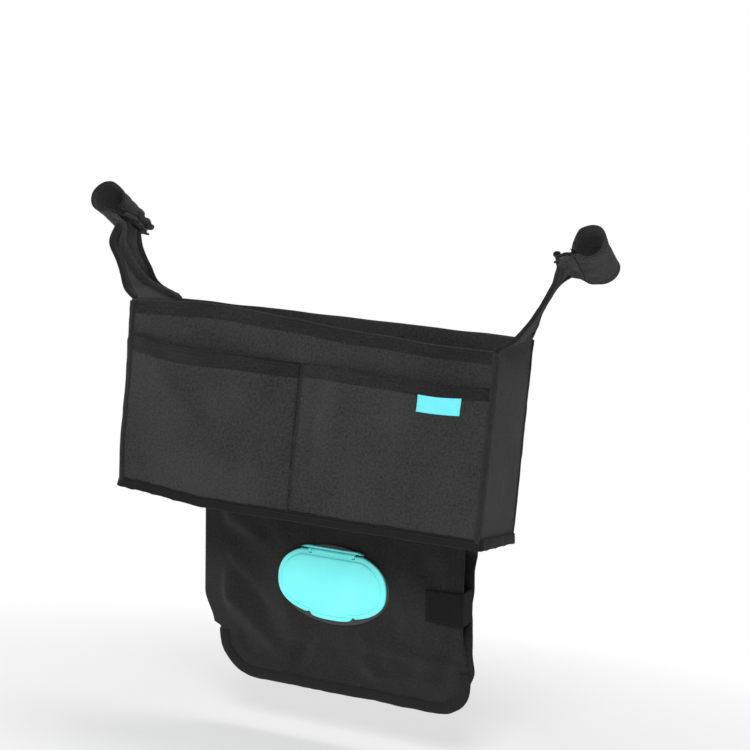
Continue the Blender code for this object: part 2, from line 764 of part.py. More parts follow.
def build():
    clear_scene()
    fabric = make_material("charcoal_fabric", (0.045, 0.045, 0.048), 0.85)
    lining = make_material("black_lining", (0.025, 0.025, 0.028), 0.80)
    tape = make_material("black_binding_tape", (0.030, 0.030, 0.032), 0.75)
    board = make_material("base_board_plastic", (0.08, 0.08, 0.08), 0.60)
    padding = make_material("changing_pad_fabric", (0.20, 0.20, 0.21), 0.80)
    hook = make_material("hook_tape", (0.020, 0.020, 0.022), 0.90)
    loop = make_material("loop_tape", (0.035, 0.035, 0.037), 0.95)
    label = make_material("turquoise_label", (0.20, 0.85, 0.85), 0.60)
    lid_plastic = make_material("turquoise_plastic", (0.20, 0.90, 0.88), 0.35)
    base_plastic = make_material("grey_plastic", (0.10, 0.10, 0.11), 0.45)

    make_bag_panels(fabric, board)
    for prefix, side in (("left", -1), ("right", 1)):
        panel, outer, normals = make_side_panel(prefix + "_side_panel", side, fabric)
        make_wing_binding(prefix + "_wing_binding", side, outer, normals, tape)
        make_cuff(prefix, side, fabric, hook, loop)
    make_pockets(fabric, label)
    make_dividers(lining)
    make_lip(tape)
    frame = make_case_frame()
    make_case_front(frame, fabric)
    make_case_back(frame, fabric)
    make_case_binding(frame, tape)
    make_case_inside(frame, lining, padding)
    make_closure(frame, fabric, hook)
    make_hanger_strips(hook, loop)
    make_dispenser_base(frame, base_plastic)
    make_dispenser_lid(frame, lid_plastic)


build()
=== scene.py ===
# %% [markdown]
# A stroller organizer hangs from two tubes by its side wings. It is sewn from coarse polyester
# cloth, and a moulded wipes dispenser sits in the changing case below the bag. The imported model
# gives every size and place. This script gives each piece its soft form and its finish.

# %% Load the frame
import math

import bmesh
import bpy
import numpy as np
from mathutils import Matrix, Vector


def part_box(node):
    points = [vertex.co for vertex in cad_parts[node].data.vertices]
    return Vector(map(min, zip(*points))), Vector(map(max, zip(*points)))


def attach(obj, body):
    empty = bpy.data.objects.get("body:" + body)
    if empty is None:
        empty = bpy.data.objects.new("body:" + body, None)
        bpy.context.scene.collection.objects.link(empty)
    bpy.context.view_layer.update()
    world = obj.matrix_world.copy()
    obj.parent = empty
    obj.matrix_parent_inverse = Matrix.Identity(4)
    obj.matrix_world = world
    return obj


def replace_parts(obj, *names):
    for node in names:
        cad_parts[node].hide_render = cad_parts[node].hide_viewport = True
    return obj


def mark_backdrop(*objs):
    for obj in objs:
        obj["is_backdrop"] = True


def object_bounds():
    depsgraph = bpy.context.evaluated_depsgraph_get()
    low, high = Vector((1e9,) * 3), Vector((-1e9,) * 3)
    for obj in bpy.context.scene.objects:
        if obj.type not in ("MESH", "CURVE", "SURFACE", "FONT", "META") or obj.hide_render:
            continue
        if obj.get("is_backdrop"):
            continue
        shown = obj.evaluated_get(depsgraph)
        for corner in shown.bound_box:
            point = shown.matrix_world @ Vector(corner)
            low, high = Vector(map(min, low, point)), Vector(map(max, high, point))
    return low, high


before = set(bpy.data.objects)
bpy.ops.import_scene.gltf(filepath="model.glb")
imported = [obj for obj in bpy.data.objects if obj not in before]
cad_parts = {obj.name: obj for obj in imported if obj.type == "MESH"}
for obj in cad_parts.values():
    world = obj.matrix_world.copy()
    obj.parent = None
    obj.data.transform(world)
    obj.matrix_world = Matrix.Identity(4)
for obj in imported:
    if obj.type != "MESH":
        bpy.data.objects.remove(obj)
cad_low, cad_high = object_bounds()
print("CAD box", [round(value, 4) for value in (*cad_low, *cad_high)])

# %% [markdown]
# The camera comes first, so that each later step can be judged in the same picture. It stands
# about two metres away with a long lens, a little to the user's right, and it is rolled slightly,
# because the photograph is.

# %% Camera
view_azimuth = math.radians(25.5)
view_elevation = math.radians(3.23)
view_roll = math.radians(5.69)
view_distance = 2.11568
view_target = Vector((0.05231, -0.0180, -0.12824))
picture_px = 750
focal_px = 2280.32


def make_camera(azimuth, elevation, roll):
    """A camera that looks at the target from the given angles."""
    toward = Vector((-math.sin(azimuth) * math.cos(elevation),
                     math.cos(azimuth) * math.cos(elevation),
                     -math.sin(elevation)))
    level = Vector((math.cos(azimuth), math.sin(azimuth), 0))
    upright = level.cross(toward)
    right = math.cos(roll) * level + math.sin(roll) * upright
    up = math.cos(roll) * upright - math.sin(roll) * level
    camera = bpy.data.objects.new("camera", bpy.data.cameras.new("camera"))
    bpy.context.scene.collection.objects.link(camera)
    turned = Matrix((right, up, -toward)).transposed().to_4x4()
    camera.matrix_world = Matrix.Translation(view_target - toward * view_distance) @ turned
    camera.data.sensor_width = 36.0
    camera.data.lens = focal_px / picture_px * camera.data.sensor_width
    camera.data.clip_end = 30
    return camera


bpy.context.scene.camera = make_camera(view_azimuth, view_elevation, view_roll)
print("lens", round(bpy.context.scene.camera.data.lens, 1), "mm")

# %% [markdown]
# Shader maths reads best as maths. A small class wraps one socket, so that `1 - mask * 0.5` adds
# the Math nodes for it. A finish is one material, with one method that makes any other node.

# %% Shader helpers
class Wire:
    """One shader socket that takes part in expressions."""

    def __init__(self, finish, socket):
        self.finish = finish
        self.socket = socket

    def maths(self, operation, *values):
        return self.finish.node("ShaderNodeMath", {"operation": operation}, dict(enumerate(values)))

    def __add__(self, other):
        return self.maths('ADD', self, other)

    def __radd__(self, other):
        return self.maths('ADD', other, self)

    def __sub__(self, other):
        return self.maths('SUBTRACT', self, other)

    def __rsub__(self, other):
        return self.maths('SUBTRACT', other, self)

    def __mul__(self, other):
        return self.maths('MULTIPLY', self, other)

    def __rmul__(self, other):
        return self.maths('MULTIPLY', other, self)

    def sine(self):
        return self.maths('SINE', self)

    def part(self):
        return self.maths('FRACT', self)

    def floor(self):
        return self.maths('FLOOR', self)

    def size(self):
        return self.maths('ABSOLUTE', self)

    def limit(self, low, high):
        return self.finish.node("ShaderNodeMapRange", {"clamp": True},
                                {"Value": self, "From Min": low, "From Max": high})


class Finish:
    """One material. What is the same all over goes straight on the shader's own sockets."""

    def __init__(self, name, **uniform):
        self.material = bpy.data.materials.new(name)
        self.material.use_nodes = True
        self.tree = self.material.node_tree
        self.shader = self.tree.nodes["Principled BSDF"]
        for socket, value in uniform.items():
            self.shader.inputs[socket.replace("_", " ")].default_value = value

    def plug(self, value, socket):
        if isinstance(value, Wire):
            self.tree.links.new(value.socket, socket)
        else:
            socket.default_value = value

    def node(self, kind, settings=None, inputs=None, output=0):
        made = self.tree.nodes.new(kind)
        for key, value in (settings or {}).items():
            if key == "stops":
                stops = made.color_ramp.elements
                for index, (place, colour) in enumerate(value):
                    stop = stops[index] if index < 2 else stops.new(place)
                    stop.position = place
                    stop.color = colour
            else:
                setattr(made, key, value)
        for key, value in (inputs or {}).items():
            self.plug(value, made.inputs[key])
        return Wire(self, made.outputs[output])

    def axes(self, source):
        """X, Y and Z of a coordinate: "UV" or "Object"."""
        place = self.node("ShaderNodeTexCoord", output=source)
        split = self.node("ShaderNodeSeparateXYZ", None, {"Vector": place})
        outputs = split.socket.node.outputs
        return place, [Wire(self, outputs[axis]) for axis in "XYZ"]

    def mix(self, share, low, high):
        """Colour between low and high."""
        made = self.tree.nodes.new("ShaderNodeMix")
        made.data_type = 'RGBA'
        for value, index in ((share, 0), (low, 6), (high, 7)):
            self.plug(value, made.inputs[index])
        return Wire(self, made.outputs[2])

    def noise(self, place, scale, detail):
        return self.node("ShaderNodeTexNoise", None,
                         {"Vector": place, "Scale": scale, "Detail": detail})

    def surface(self, colour, roughness, height, relief):
        """Links what varies. The height goes through a bump that is relief metres tall."""
        self.plug(colour, self.shader.inputs["Base Color"])
        if roughness is not None:
            self.plug(roughness, self.shader.inputs["Roughness"])
        normal = self.node("ShaderNodeBump", None,
                           {"Height": height, "Distance": relief, "Strength": 1.0})
        self.plug(normal, self.shader.inputs["Normal"])
        return self.material


def grey(value, tint=(1.0, 1.0, 1.0)):
    """A linear colour from one level and a tint."""
    return tuple(value * part for part in tint) + (1.0,)


# %% [markdown]
# The cloth is a coarse plain weave: each yarn passes over one neighbour and under the next. Its
# height is worked out from the UV map, which every cloth piece carries in metres, so the weave
# follows the cloth round folds. A slow noise dulls and lightens it as dyed cloth does, and a faint
# sheen comes from the loose fibres. Within a hem the cloth is coloured darker, and a dark line
# along the hem's lower edge is painted shadow under its step. Pockets get painted shade past their
# lip and near their sewn sides.

# %% Cloth finishes
pi = math.pi


def woven_height(u, v, pitch):
    """Plain weave over two coordinates in metres, with one yarn to each pitch."""
    across = u * (1 / pitch)
    along = v * (1 / pitch)
    swell_u = (across.part() * pi).sine()
    swell_v = (along.part() * pi).sine()
    turn = ((across.floor() + along.floor()) * 0.5).part() * 2
    warp = swell_u * (swell_v * 0.5 + 0.5)
    weft = swell_v * (swell_u * 0.5 + 0.5)
    return warp * turn + weft * (1 - turn)


def cloth_finish(name, dark, light, pitch, roughness=0.82, sheen=0.08, relief=0.00028,
                 hem=None, lip=None, sewn=None):
    """Woven cloth, darker within a hem. Painted shade lies below a hem, past a lip and by a seam.

    hem is a pair of heights and lip one height on the UV map, sewn a distance from its middle.
    """
    finish = Finish(name, Roughness=roughness, Sheen_Weight=sheen, Sheen_Roughness=0.45,
                    Specular_IOR_Level=0.22)
    place, (u, v, _) = finish.axes("UV")
    weave = woven_height(u, v, pitch)
    slub = finish.noise(place, 430.0, 2.0)
    patch = finish.noise(finish.axes("Object")[0], 13.0, 4.0)
    shade = weave * 0.42 + slub * 0.66 + patch * 0.44 + 0.13
    if hem:
        low, high = hem
        edge = v.limit(low, low + 0.0004)
        band = edge - v.limit(high, high + 0.0004)
        # The band is coloured darker, and just below the hem's lower edge a dark line is painted
        # shadow under its step.
        shade = shade - band * 0.22 - (v.limit(low - 0.0014, low - 0.001) - edge) * 0.22
    # Painted shade past a pocket's lip, where the open mouth is dark.
    if lip:
        shade = shade - v.limit(lip, lip + 0.0003) * 0.4
    # Painted shade near a pocket's sewn sides, where the seam sinks in.
    if sewn:
        shade = shade - u.size().limit(sewn - 0.0035, sewn) * 0.20
    colour = finish.mix(shade.limit(0.68, 1.04), dark, light)
    rough = roughness - 0.10 + weave * 0.12 + patch * 0.08
    return finish.surface(colour, rough, weave + slub * 0.6, relief)


charcoal = (grey(0.0035), grey(0.034))
coarse_pitch, tab_pitch, fine_pitch = 0.00095, 0.0007, 0.0006    # from one yarn to the next
charcoal_cloth = cloth_finish("charcoal_cloth", *charcoal, coarse_pitch)
case_cloth = cloth_finish("case_cloth", grey(0.0025), grey(0.0195), coarse_pitch)
tab_finish = cloth_finish("tab_cloth", grey(0.0015), grey(0.0060), tab_pitch, 0.9, 0.02, 0.00016)
lining_cloth = cloth_finish("lining_cloth", grey(0.005), grey(0.015), fine_pitch,
                            0.66, 0.06, 0.00012)
pad_cloth = cloth_finish("pad_cloth", grey(0.080), grey(0.150, (1.0, 1.0, 1.03)), fine_pitch,
                         0.5, 0.2, 0.00012)
print("cloth finishes made")

# %% [markdown]
# Binding tape is a ribbed weave, with fine ribs across it. It comes in three tones: the one round
# the bag's base is the blackest and the one round the case the palest. Thread is twisted, so it has
# slanted grooves. Hook tape stands up in rows of small stiff hooks, and loop tape is a felt of fine
# loops.

# %% Tape and thread finishes
tape_rib = 0.0011
thread_turn = 0.0006


def tape_finish(name, dark, light):
    finish = Finish(name, Roughness=0.78, Sheen_Weight=0.05, Specular_IOR_Level=0.18)
    place, (u, v, _) = finish.axes("UV")
    ribs = (u * (2 * pi / tape_rib)).sine() * 0.5 + 0.5
    ribs = ribs * ((v * (2 * pi / (tape_rib * 0.45))).sine() * 0.2 + 0.8)
    fuzz = finish.noise(place, 1400.0, 1.0)
    wear = finish.noise(place, 60.0, 3.0)
    shade = (ribs * 0.5 + fuzz * 0.25 + wear * 0.35).limit(0.1, 1.0)
    colour = finish.mix(shade, dark, light)
    return finish.surface(colour, 0.64 + wear * 0.16, ribs + fuzz * 0.3, 0.00022)


def pile_finish(name, dark, light, cell, relief):
    """Hook or loop tape: small tufts in a jittered grid."""
    finish = Finish(name, Roughness=0.85, Sheen_Weight=0.3)
    place, _ = finish.axes("Object")
    tufts = finish.node("ShaderNodeTexVoronoi", None, {"Vector": place, "Scale": 1 / cell})
    height = 1 - tufts.limit(0.0, 0.7)
    return finish.surface(finish.mix(height, dark, light), None, height, relief)


def thread_finish():
    finish = Finish("sewing_thread", Roughness=0.6, Specular_IOR_Level=0.25, Sheen_Weight=0.05)
    _, (x, y, z) = finish.axes("Object")
    twist = ((x + y * 0.6 + z * 1.3) * (2 * pi / thread_turn)).sine() * 0.5 + 0.5
    colour = finish.mix(twist, grey(0.003), grey(0.018))
    return finish.surface(colour, None, twist, 0.00008)


binding_tape = tape_finish("binding_tape", grey(0.002), grey(0.011))
lip_tape = tape_finish("lip_tape", grey(0.0015), grey(0.006))
case_edge_tape = tape_finish("case_edge_tape", grey(0.002), grey(0.017))
hook_tape = pile_finish("hook_tape", grey(0.010), grey(0.040), 0.0013, 0.0006)
loop_tape = pile_finish("loop_tape", grey(0.016), grey(0.050), 0.0007, 0.0003)
thread = thread_finish()
print("tape and thread finishes made")

# %% [markdown]
# The lid is a glossy moulded plastic with a slight orange-peel surface and a satin haze. The base
# under it is a dark grey plastic with a fine spark-eroded grain. The label is a satin weave with
# long floats, in the lid's colour.

# %% Plastic and label finishes
turquoise = (0.205, 0.935, 0.915, 1.0)
turquoise_deep = (0.150, 0.850, 0.850, 1.0)
satin = (0.130, 0.700, 0.760, 1.0)
satin_deep = (0.085, 0.560, 0.620, 1.0)
warm = (1.0, 0.90, 0.88)
satin_row, satin_float = 0.00042, 0.0021


def lid_finish():
    finish = Finish("turquoise_plastic", Roughness=0.34, Specular_IOR_Level=0.5, Coat_Weight=0.12,
                    Coat_Roughness=0.2, Subsurface_Weight=0.06, Subsurface_Scale=0.004)
    place, _ = finish.axes("Object")
    haze = finish.noise(place, 26.0, 3.0)
    peel = finish.noise(place, 520.0, 2.0)
    scuffs = finish.noise(place, 2600.0, 1.0)
    colour = finish.mix(haze.limit(0.3, 0.75), turquoise_deep, turquoise)
    return finish.surface(colour, 0.26 + haze * 0.16 + scuffs * 0.06, peel, 0.00006)


def base_plastic_finish():
    finish = Finish("grey_plastic", Roughness=0.42, Specular_IOR_Level=0.5)
    place, _ = finish.axes("Object")
    grain = finish.noise(place, 2200.0, 2.0)
    cloud = finish.noise(place, 45.0, 2.0)
    colour = finish.mix(cloud, grey(0.020, warm), grey(0.034, warm))
    return finish.surface(colour, 0.34 + grain * 0.22, grain, 0.00006)


def label_finish():
    finish = Finish("turquoise_label", Roughness=0.5, Sheen_Weight=0.15, Specular_IOR_Level=0.4)
    place, (u, v, _) = finish.axes("UV")
    row = v * (1 / satin_row)
    run = ((u * (1 / satin_float) + row.floor() * 0.37).part() * pi).sine()
    floats = (row.part() * pi).sine() * 0.7 + run * 0.3
    cloud = finish.noise(place, 90.0, 2.0)
    colour = finish.mix((floats * 0.7 + cloud * 0.4).limit(0.1, 1.0), satin_deep, satin)
    return finish.surface(colour, 0.42 + floats * 0.14, floats, 0.00012)


lid_plastic = lid_finish()
base_plastic = base_plastic_finish()
label_satin = label_finish()
print("plastic and label finishes made")

# %% [markdown]
# Cloth is never flat. These helpers give smooth steps, random swells and soft creases as plain
# functions of a place on the cloth, so each piece is one formula that gives a point for each pair
# of coordinates.

# %% Shape helpers
def ease(share):
    """Smooth step from 0 to 1."""
    share = np.clip(share, 0.0, 1.0)
    return share * share * (3 - 2 * share)


def bell(value, centre, width):
    """A bump of height 1 around centre."""
    return np.exp(-((value - centre) / width) ** 2)


def distance_along(points):
    """Distance run at each point of a path."""
    return np.cumsum(np.concatenate(([0], np.linalg.norm(np.diff(points, axis=0), axis=1))))


def divided(points, step):
    """A path with even points added between the given ones, about a step apart."""
    parts = [points[:1]]
    for start, end in zip(points, points[1:]):
        gap = np.linalg.norm(end - start)
        if gap > 1e-6:
            shares = np.linspace(0, 1, max(int(gap / step), 1) + 1)[1:, None]
            parts.append(start + (end - start) * shares)
    return np.concatenate(parts)


def read_along(line, places):
    """Points of a line at the given distances along it."""
    run = distance_along(line)
    return np.column_stack([np.interp(places, run, values) for values in line.T])


def relaxed(line):
    """An open line with its bends eased. Its ends stay."""
    for _ in range(3):
        line[1:-1] = line[:-2] * 0.25 + line[1:-1] * 0.5 + line[2:] * 0.25
    return line


def relaxed_ring(points, times):
    """A closed line with its bends eased."""
    for _ in range(times):
        points = (np.roll(points, 1, 0) + 2 * points + np.roll(points, -1, 0)) / 4
    return points


def rounded_away(value, limit, radius):
    """0 up to a radius before the limit on either side, from there a quarter circle up to 1."""
    past = np.clip((np.abs(value) - limit + radius) / radius, 0, 1)
    return 1 - np.sqrt(np.maximum(1 - past ** 2, 0))


def chart(first, second):
    """The UV map of a strip, from the distances run both ways."""
    return np.stack(np.meshgrid(first, second, indexing="ij"), axis=2)


def unit(vectors):
    """The same directions, each one long."""
    return vectors / np.maximum(np.linalg.norm(vectors, axis=-1, keepdims=True), 1e-12)


def right_of(path):
    """Directions to the right of a plane path, for someone who walks along it."""
    heading = unit(np.gradient(path, axis=0))
    return np.column_stack((heading[:, 1], -heading[:, 0]))


def swell(u, v, size, seed):
    """Smooth random height from -1 to 1, with features about size across."""
    lattice = np.random.default_rng(seed).uniform(-1, 1, (64, 64))
    a = np.asarray(u, float) / size + 20.3
    b = np.asarray(v, float) / size + 20.7
    row, column = np.floor(a).astype(int), np.floor(b).astype(int)
    s, t = ease(a - row), ease(b - column)
    row, column = row % 63, column % 63
    near = lattice[row, column] * (1 - s) + lattice[row + 1, column] * s
    far = lattice[row, column + 1] * (1 - s) + lattice[row + 1, column + 1] * s
    return near * (1 - t) + far * t


def crease(u, v, start, end, width, height):
    """A soft ridge, or a valley where height is negative, along the line from start to end."""
    reach = math.dist(start, end)
    heading = ((end[0] - start[0]) / reach, (end[1] - start[1]) / reach)
    away_u, away_v = u - start[0], v - start[1]
    share = (away_u * heading[0] + away_v * heading[1]) / reach
    across = away_v * heading[0] - away_u * heading[1]
    fade = np.clip(4 * share * (1 - share), 0, 1) ** 0.6
    return height * fade * bell(across, 0, width)


def stations(low, high, step, fine=(), fine_step=0.0006, fine_reach=0.0024):
    """Values from low to high, closer together around the fine places."""
    values = list(np.linspace(low, high, max(int(round((high - low) / step)), 1) + 1))
    near = int(fine_reach / fine_step)
    for place in fine:
        values += [place + fine_step * k for k in range(-near, near + 1)]
    values = sorted(value for value in values if low <= value <= high)
    kept = [values[0]]
    for value in values[1:]:
        if value - kept[-1] > fine_step * 0.6:
            kept.append(value)
    kept[-1] = high
    return np.array(kept)


# %% [markdown]
# Most pieces are thin shells. A grid of points gives the outer face, the inner face lies one
# thickness behind it, and the rim between them is rounded as a turned edge is. The UV map holds
# real lengths, measured from the middle of each row, so the weave stays straight.

# %% Shell helpers
edge_bulge = 0.45    # how far a rim stands out, as a share of the cloth's thickness


def grid_normals(grid, outward):
    """Unit normals of a grid of points, on the side of outward."""
    normals = unit(np.cross(np.gradient(grid, axis=1), np.gradient(grid, axis=0)))
    if (normals * np.asarray(outward)).sum(axis=2).mean() < 0:
        normals = -normals
    return normals


def lengths(points, axis):
    """Distance run along an axis of a grid of points."""
    steps = np.linalg.norm(np.diff(points, axis=axis), axis=2)
    pad = [(0, 0), (0, 0)]
    pad[axis] = (1, 0)
    return np.cumsum(np.pad(steps, pad), axis=axis)


def add_mesh(name, points, faces, uvs, material, body="bag"):
    """A smooth mesh object with its faces pointing out, riding on a body."""
    mesh = bpy.data.meshes.new(name)
    mesh.from_pydata([tuple(point) for point in points], [], faces)
    layer = mesh.uv_layers.new(name="cloth")
    corner_vertex = np.empty(len(mesh.loops), int)
    mesh.loops.foreach_get("vertex_index", corner_vertex)
    layer.data.foreach_set("uv", np.asarray(uvs, float)[corner_vertex].ravel())
    mesh.materials.append(material)
    work = bmesh.new()
    work.from_mesh(mesh)
    bmesh.ops.recalc_face_normals(work, faces=work.faces)
    work.to_mesh(mesh)
    work.free()
    mesh.shade_smooth()
    made = bpy.data.objects.new(name, mesh)
    bpy.context.scene.collection.objects.link(made)
    if body:
        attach(made, body)
    return made


def band_faces(here, there, count):
    """Quads between two closed rings of points, given where each ring starts."""
    return [(here + k, here + (k + 1) % count, there + (k + 1) % count, there + k)
            for k in range(count)]


def ring_faces(rows, count):
    """Quads between closed rings of points that follow each other."""
    faces = []
    for row in range(rows - 1):
        faces += band_faces(row * count, (row + 1) * count, count)
    return faces


def add_rings(name, rings, uvs, material, body="bag"):
    """Solid from closed rings of points, with a flat cap at both ends."""
    rows, count = rings.shape[:2]
    faces = ring_faces(rows, count)
    faces.append(tuple(range(count)))
    faces.append(tuple(range(rows * count - count, rows * count)))
    return add_mesh(name, rings.reshape(-1, 3), faces, uvs.reshape(-1, 2), material, body)


def add_shell(name, outer, thickness, outward, material, body="bag"):
    """Closed shell behind a grid of outer points. thickness is a number or a grid."""
    normals = grid_normals(outer, outward)
    depth = np.broadcast_to(np.asarray(thickness, float), outer.shape[:2])[..., None]
    inner = outer - normals * depth
    rows, columns = outer.shape[:2]
    middle = outer[:, columns // 2]
    along = distance_along(middle)
    across = lengths(outer, 1)
    across -= across[:, columns // 2:columns // 2 + 1]
    uv = np.stack((across, np.broadcast_to(along[:, None], across.shape)), axis=2)

    def rim(column, neighbour):
        edge = (outer[:, column] + inner[:, column]) / 2
        away = unit(outer[:, column] - outer[:, neighbour])
        return (edge + away * depth[:, column] * edge_bulge)[:, None]

    rings = np.concatenate((outer, rim(-1, -2), inner[:, ::-1], rim(0, 1)), axis=1)
    uvs = np.concatenate((uv, uv[:, -1:], uv[:, ::-1], uv[:, :1]), axis=1)
    ends = []
    for row, neighbour in ((0, 1), (-1, -2)):
        away = unit(rings[row] - rings[neighbour])
        mirror = np.concatenate((np.arange(2 * columns + 1)[::-1], [2 * columns + 1]))
        centre = (rings[row] + rings[row][mirror]) / 2
        bulge = away * depth[row].mean() * edge_bulge
        ends.append((centre + (rings[row] - centre) * 0.35 + bulge)[None])
    rings = np.concatenate((ends[0], rings, ends[1]))
    uvs = np.concatenate((uvs[:1], uvs, uvs[-1:]))
    count = rings.shape[1]
    faces = ring_faces(len(rings), count)
    for start in (0, (len(rings) - 1) * count):
        for step in range(columns - 1):
            back = 2 * columns - step
            faces.append((start + step, start + step + 1, start + back - 1, start + back))
        faces.append((start + columns - 1, start + columns, start + columns + 1))
        faces.append((start + 2 * columns, start + 2 * columns + 1, start))
    return add_mesh(name, rings.reshape(-1, 3), faces, uvs.reshape(-1, 2), material, body)


# %% [markdown]
# A binding tape is folded over a raw edge. Its section is a thin U: one leg on each face, and a
# round bend around the edge. The tape follows the edge with small puckers where it was drawn tight.

# %% Folded tape helper
tape_thickness = 0.0009


def fold_tape(name, edge, inward, normal, leg, filling, material, pucker=0.00025, seed=1, start=0):
    """Tape over an edge. inward points into the panel and normal off its outer face.

    The tape is narrow at first and widens over its first start rows.
    """
    radius = filling / 2 + tape_thickness
    bend = [math.radians(angle) for angle in range(90, 271, 30)]
    middle = -filling / 2
    skin = [(leg, middle + radius), (leg * 0.5, middle + radius * 1.06)]
    skin += [(radius * math.cos(turn) * 0.9, middle + radius * math.sin(turn)) for turn in bend]
    skin += [(leg * 0.5, middle - radius * 1.06), (leg, middle - radius)]
    inside = radius - tape_thickness
    core = [(leg, middle - inside), (leg * 0.5, middle - inside)]
    core += [(inside * math.cos(turn) * 0.9, middle + inside * math.sin(turn))
             for turn in reversed(bend)]
    core += [(leg * 0.5, middle + inside), (leg, middle + inside)]
    section = np.array(skin + core)
    run = distance_along(edge)
    around = distance_along(section)
    wave = swell(run, run * 0, 0.006, seed)[:, None] * pucker
    widen = 0.25 + 0.75 * ease((np.arange(len(edge)) + 1) / (start + 1))[:, None]
    along_in = section[None, :, 0] * np.where(section[None, :, 0] > 0, widen, 1) + wave * 1.5
    off = section[None, :, 1] + np.sign(section[None, :, 1] - middle) * wave
    rings = edge[:, None] + inward[:, None] * along_in[..., None] + normal[:, None] * off[..., None]
    return add_rings(name, rings, chart(run, around), material)


# %% [markdown]
# The bag is one soft box, so neighbours have to move together. One function warps every point of
# it: the left front corner is pushed out at the top and lifted at the base, the rim is a little
# uneven, and nothing moves at the cuffs.

# %% The bag's own lean and sag
front_low, front_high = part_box("front_panel")
_, back_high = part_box("back_panel")
half_width = front_high.x
hem_proud = 0.0007
front_y = front_low.y + hem_proud
back_y = back_high.y - hem_proud
rim_z = front_high.z
back_rim_z = back_high.z
base_z = front_low.z
wall = 0.0025
clearance = 0.0003
bag_height = rim_z - base_z
rim_hem = 0.012
hem_stitch = 0.0035    # from a hem's edge to its row of stitches
sides = (("left", -1), ("right", 1))
rim_xs = (-0.190, -0.118, -0.090, -0.045, 0.000, 0.034, 0.104, 0.125, 0.190)
rim_rises = (0.0026, 0.0078, 0.0076, 0.0048, 0.0014, -0.0016, -0.0048, -0.0062, -0.0066)


def settle(points):
    """Warps points of the bag as its weight and filling do."""
    points = np.asarray(points, float)
    x, y, z = points[..., 0], points[..., 1], points[..., 2]
    height = (z - base_z) / bag_height
    left = ease((-x - 0.110) / 0.080)
    right = ease((x - 0.110) / 0.080)
    above = 1 - ease((z - rim_z - 0.004) / 0.050)
    front = ease((back_y - y) / (back_y - front_y))
    moved = points.copy()
    high_up = ease((height - 0.55) / 0.45)
    moved[..., 0] -= 0.0040 * left * high_up * above * (0.4 + 0.6 * front)
    low_down = 1 - ease(height / 0.45)
    rim_rise = np.interp(x, rim_xs, rim_rises)
    moved[..., 2] += 0.0064 * ease((-x - 0.085) / 0.095) * low_down * front
    moved[..., 0] += 0.0026 * left * (1 - ease(height / 0.30)) * front
    moved[..., 2] += rim_rise * ease((height - 0.72) / 0.28) * above * front
    moved[..., 0] -= 0.0042 * right * (1 - front) * above
    belly = 0.0022 * bell(x, 0.0, 0.120) * bell(height, 0.5, 0.5)
    moved[..., 1] -= belly * front * (1 - left) * (1 - right)
    return moved


print("bag", round(2 * half_width, 3), "wide and", round(bag_height, 3), "high")

# %% [markdown]
# The front and back walls are foam-backed cloth with the top turned over as a hem. Each is one
# loop of points swept along the bag's width: up the outer face, over the rounded hem and down the
# lining side. The hem stands a little proud, and its lower edge is a small rolled step.

# %% Front and back walls
# The rim hem is coloured darker, with painted shadow just below its lower edge.
wall_finish = cloth_finish("wall_cloth", *charcoal, coarse_pitch,
                           hem=(bag_height - rim_hem, bag_height + 0.004))


def make_wall(name, face_y, outward, top_z, seed):
    """One wall of the bag. outward is -1 at the front and 1 at the back."""
    xs = stations(-half_width, half_width, 0.0032)
    hem_z = top_z - rim_hem
    bend = (wall + hem_proud) / 2
    section = [(0.0, z) for z in stations(base_z, hem_z - 0.0012, 0.006)]
    section += [(0.0003, hem_z - 0.0006), (hem_proud * 0.9, hem_z - 0.0001)]
    section += [(hem_proud, z) for z in stations(hem_z + 0.0006, top_z - bend, 0.0014)]
    section += [(hem_proud - bend + bend * math.cos(turn), top_z - bend + bend * math.sin(turn))
                for turn in np.radians((22, 45, 68, 90, 112, 135, 158))]
    section += [(-wall, z) for z in stations(base_z, top_z - bend, 0.006)[::-1]]
    section = np.array(section)
    run = distance_along(section)
    x = np.broadcast_to(xs[:, None], (len(xs), len(section)))
    z = np.broadcast_to(section[None, :, 1], x.shape)
    near_top = ease((z - (top_z - 0.045)) / 0.03)
    dents = swell(x, z, 0.034, seed) * 0.0009 + swell(x, z, 0.012, seed + 1) * 0.00025
    topstitch = bell(z, hem_z + hem_stitch, 0.0009) + bell(z, top_z - hem_stitch, 0.0009)
    pull = -0.00035 * topstitch * (section[None, :, 0] > 0)
    off = section[None, :, 0] + dents * near_top + pull
    y = face_y + outward * (off - rounded_away(x, half_width, 0.003) * 0.0016)
    uneven = swell(x, x * 0, 0.03, seed + 5) * 0.0006 * near_top
    rings = settle(np.stack((x, y, z + uneven), axis=2))
    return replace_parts(add_rings(name, rings, chart(xs, run), wall_finish), name)


front_wall = make_wall("front_panel", front_y, -1, rim_z, 11)
back_wall = make_wall("back_panel", back_y, 1, back_rim_z, 21)
print("walls", len(front_wall.data.polygons), len(back_wall.data.polygons), "faces")

# %% [markdown]
# The two patch pockets are sewn down at their sides and foot and stand full at the mouth. The left
# one gapes and its mouth sags. The cloth strains towards the seams, which shows as shallow folds
# that start at the corners.

# %% Pockets
pocket_low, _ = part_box("left_pocket")
_, pocket_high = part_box("right_pocket")
pocket_foot_z = pocket_low.z
mouth_z = pocket_high.z
seam_x = (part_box("left_pocket")[1].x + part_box("right_pocket")[0].x) / 2
pocket_cloth = 0.0016
pocket_hem = 0.013
pocket_hem_proud = 0.0006
pocket_height = mouth_z - pocket_foot_z
mouth_width, mouth_depth = 0.006, 0.004    # what the gaping mouth adds to the flat cloth
mouth_stitch, pocket_stitch = 0.0022, 0.0016    # from the mouth and from the hem's lower edge
pockets = {
    "left_pocket": (pocket_low.x, seam_x - clearance, 0.0145),
    "right_pocket": (seam_x + clearance, pocket_high.x, 0.0130),
}


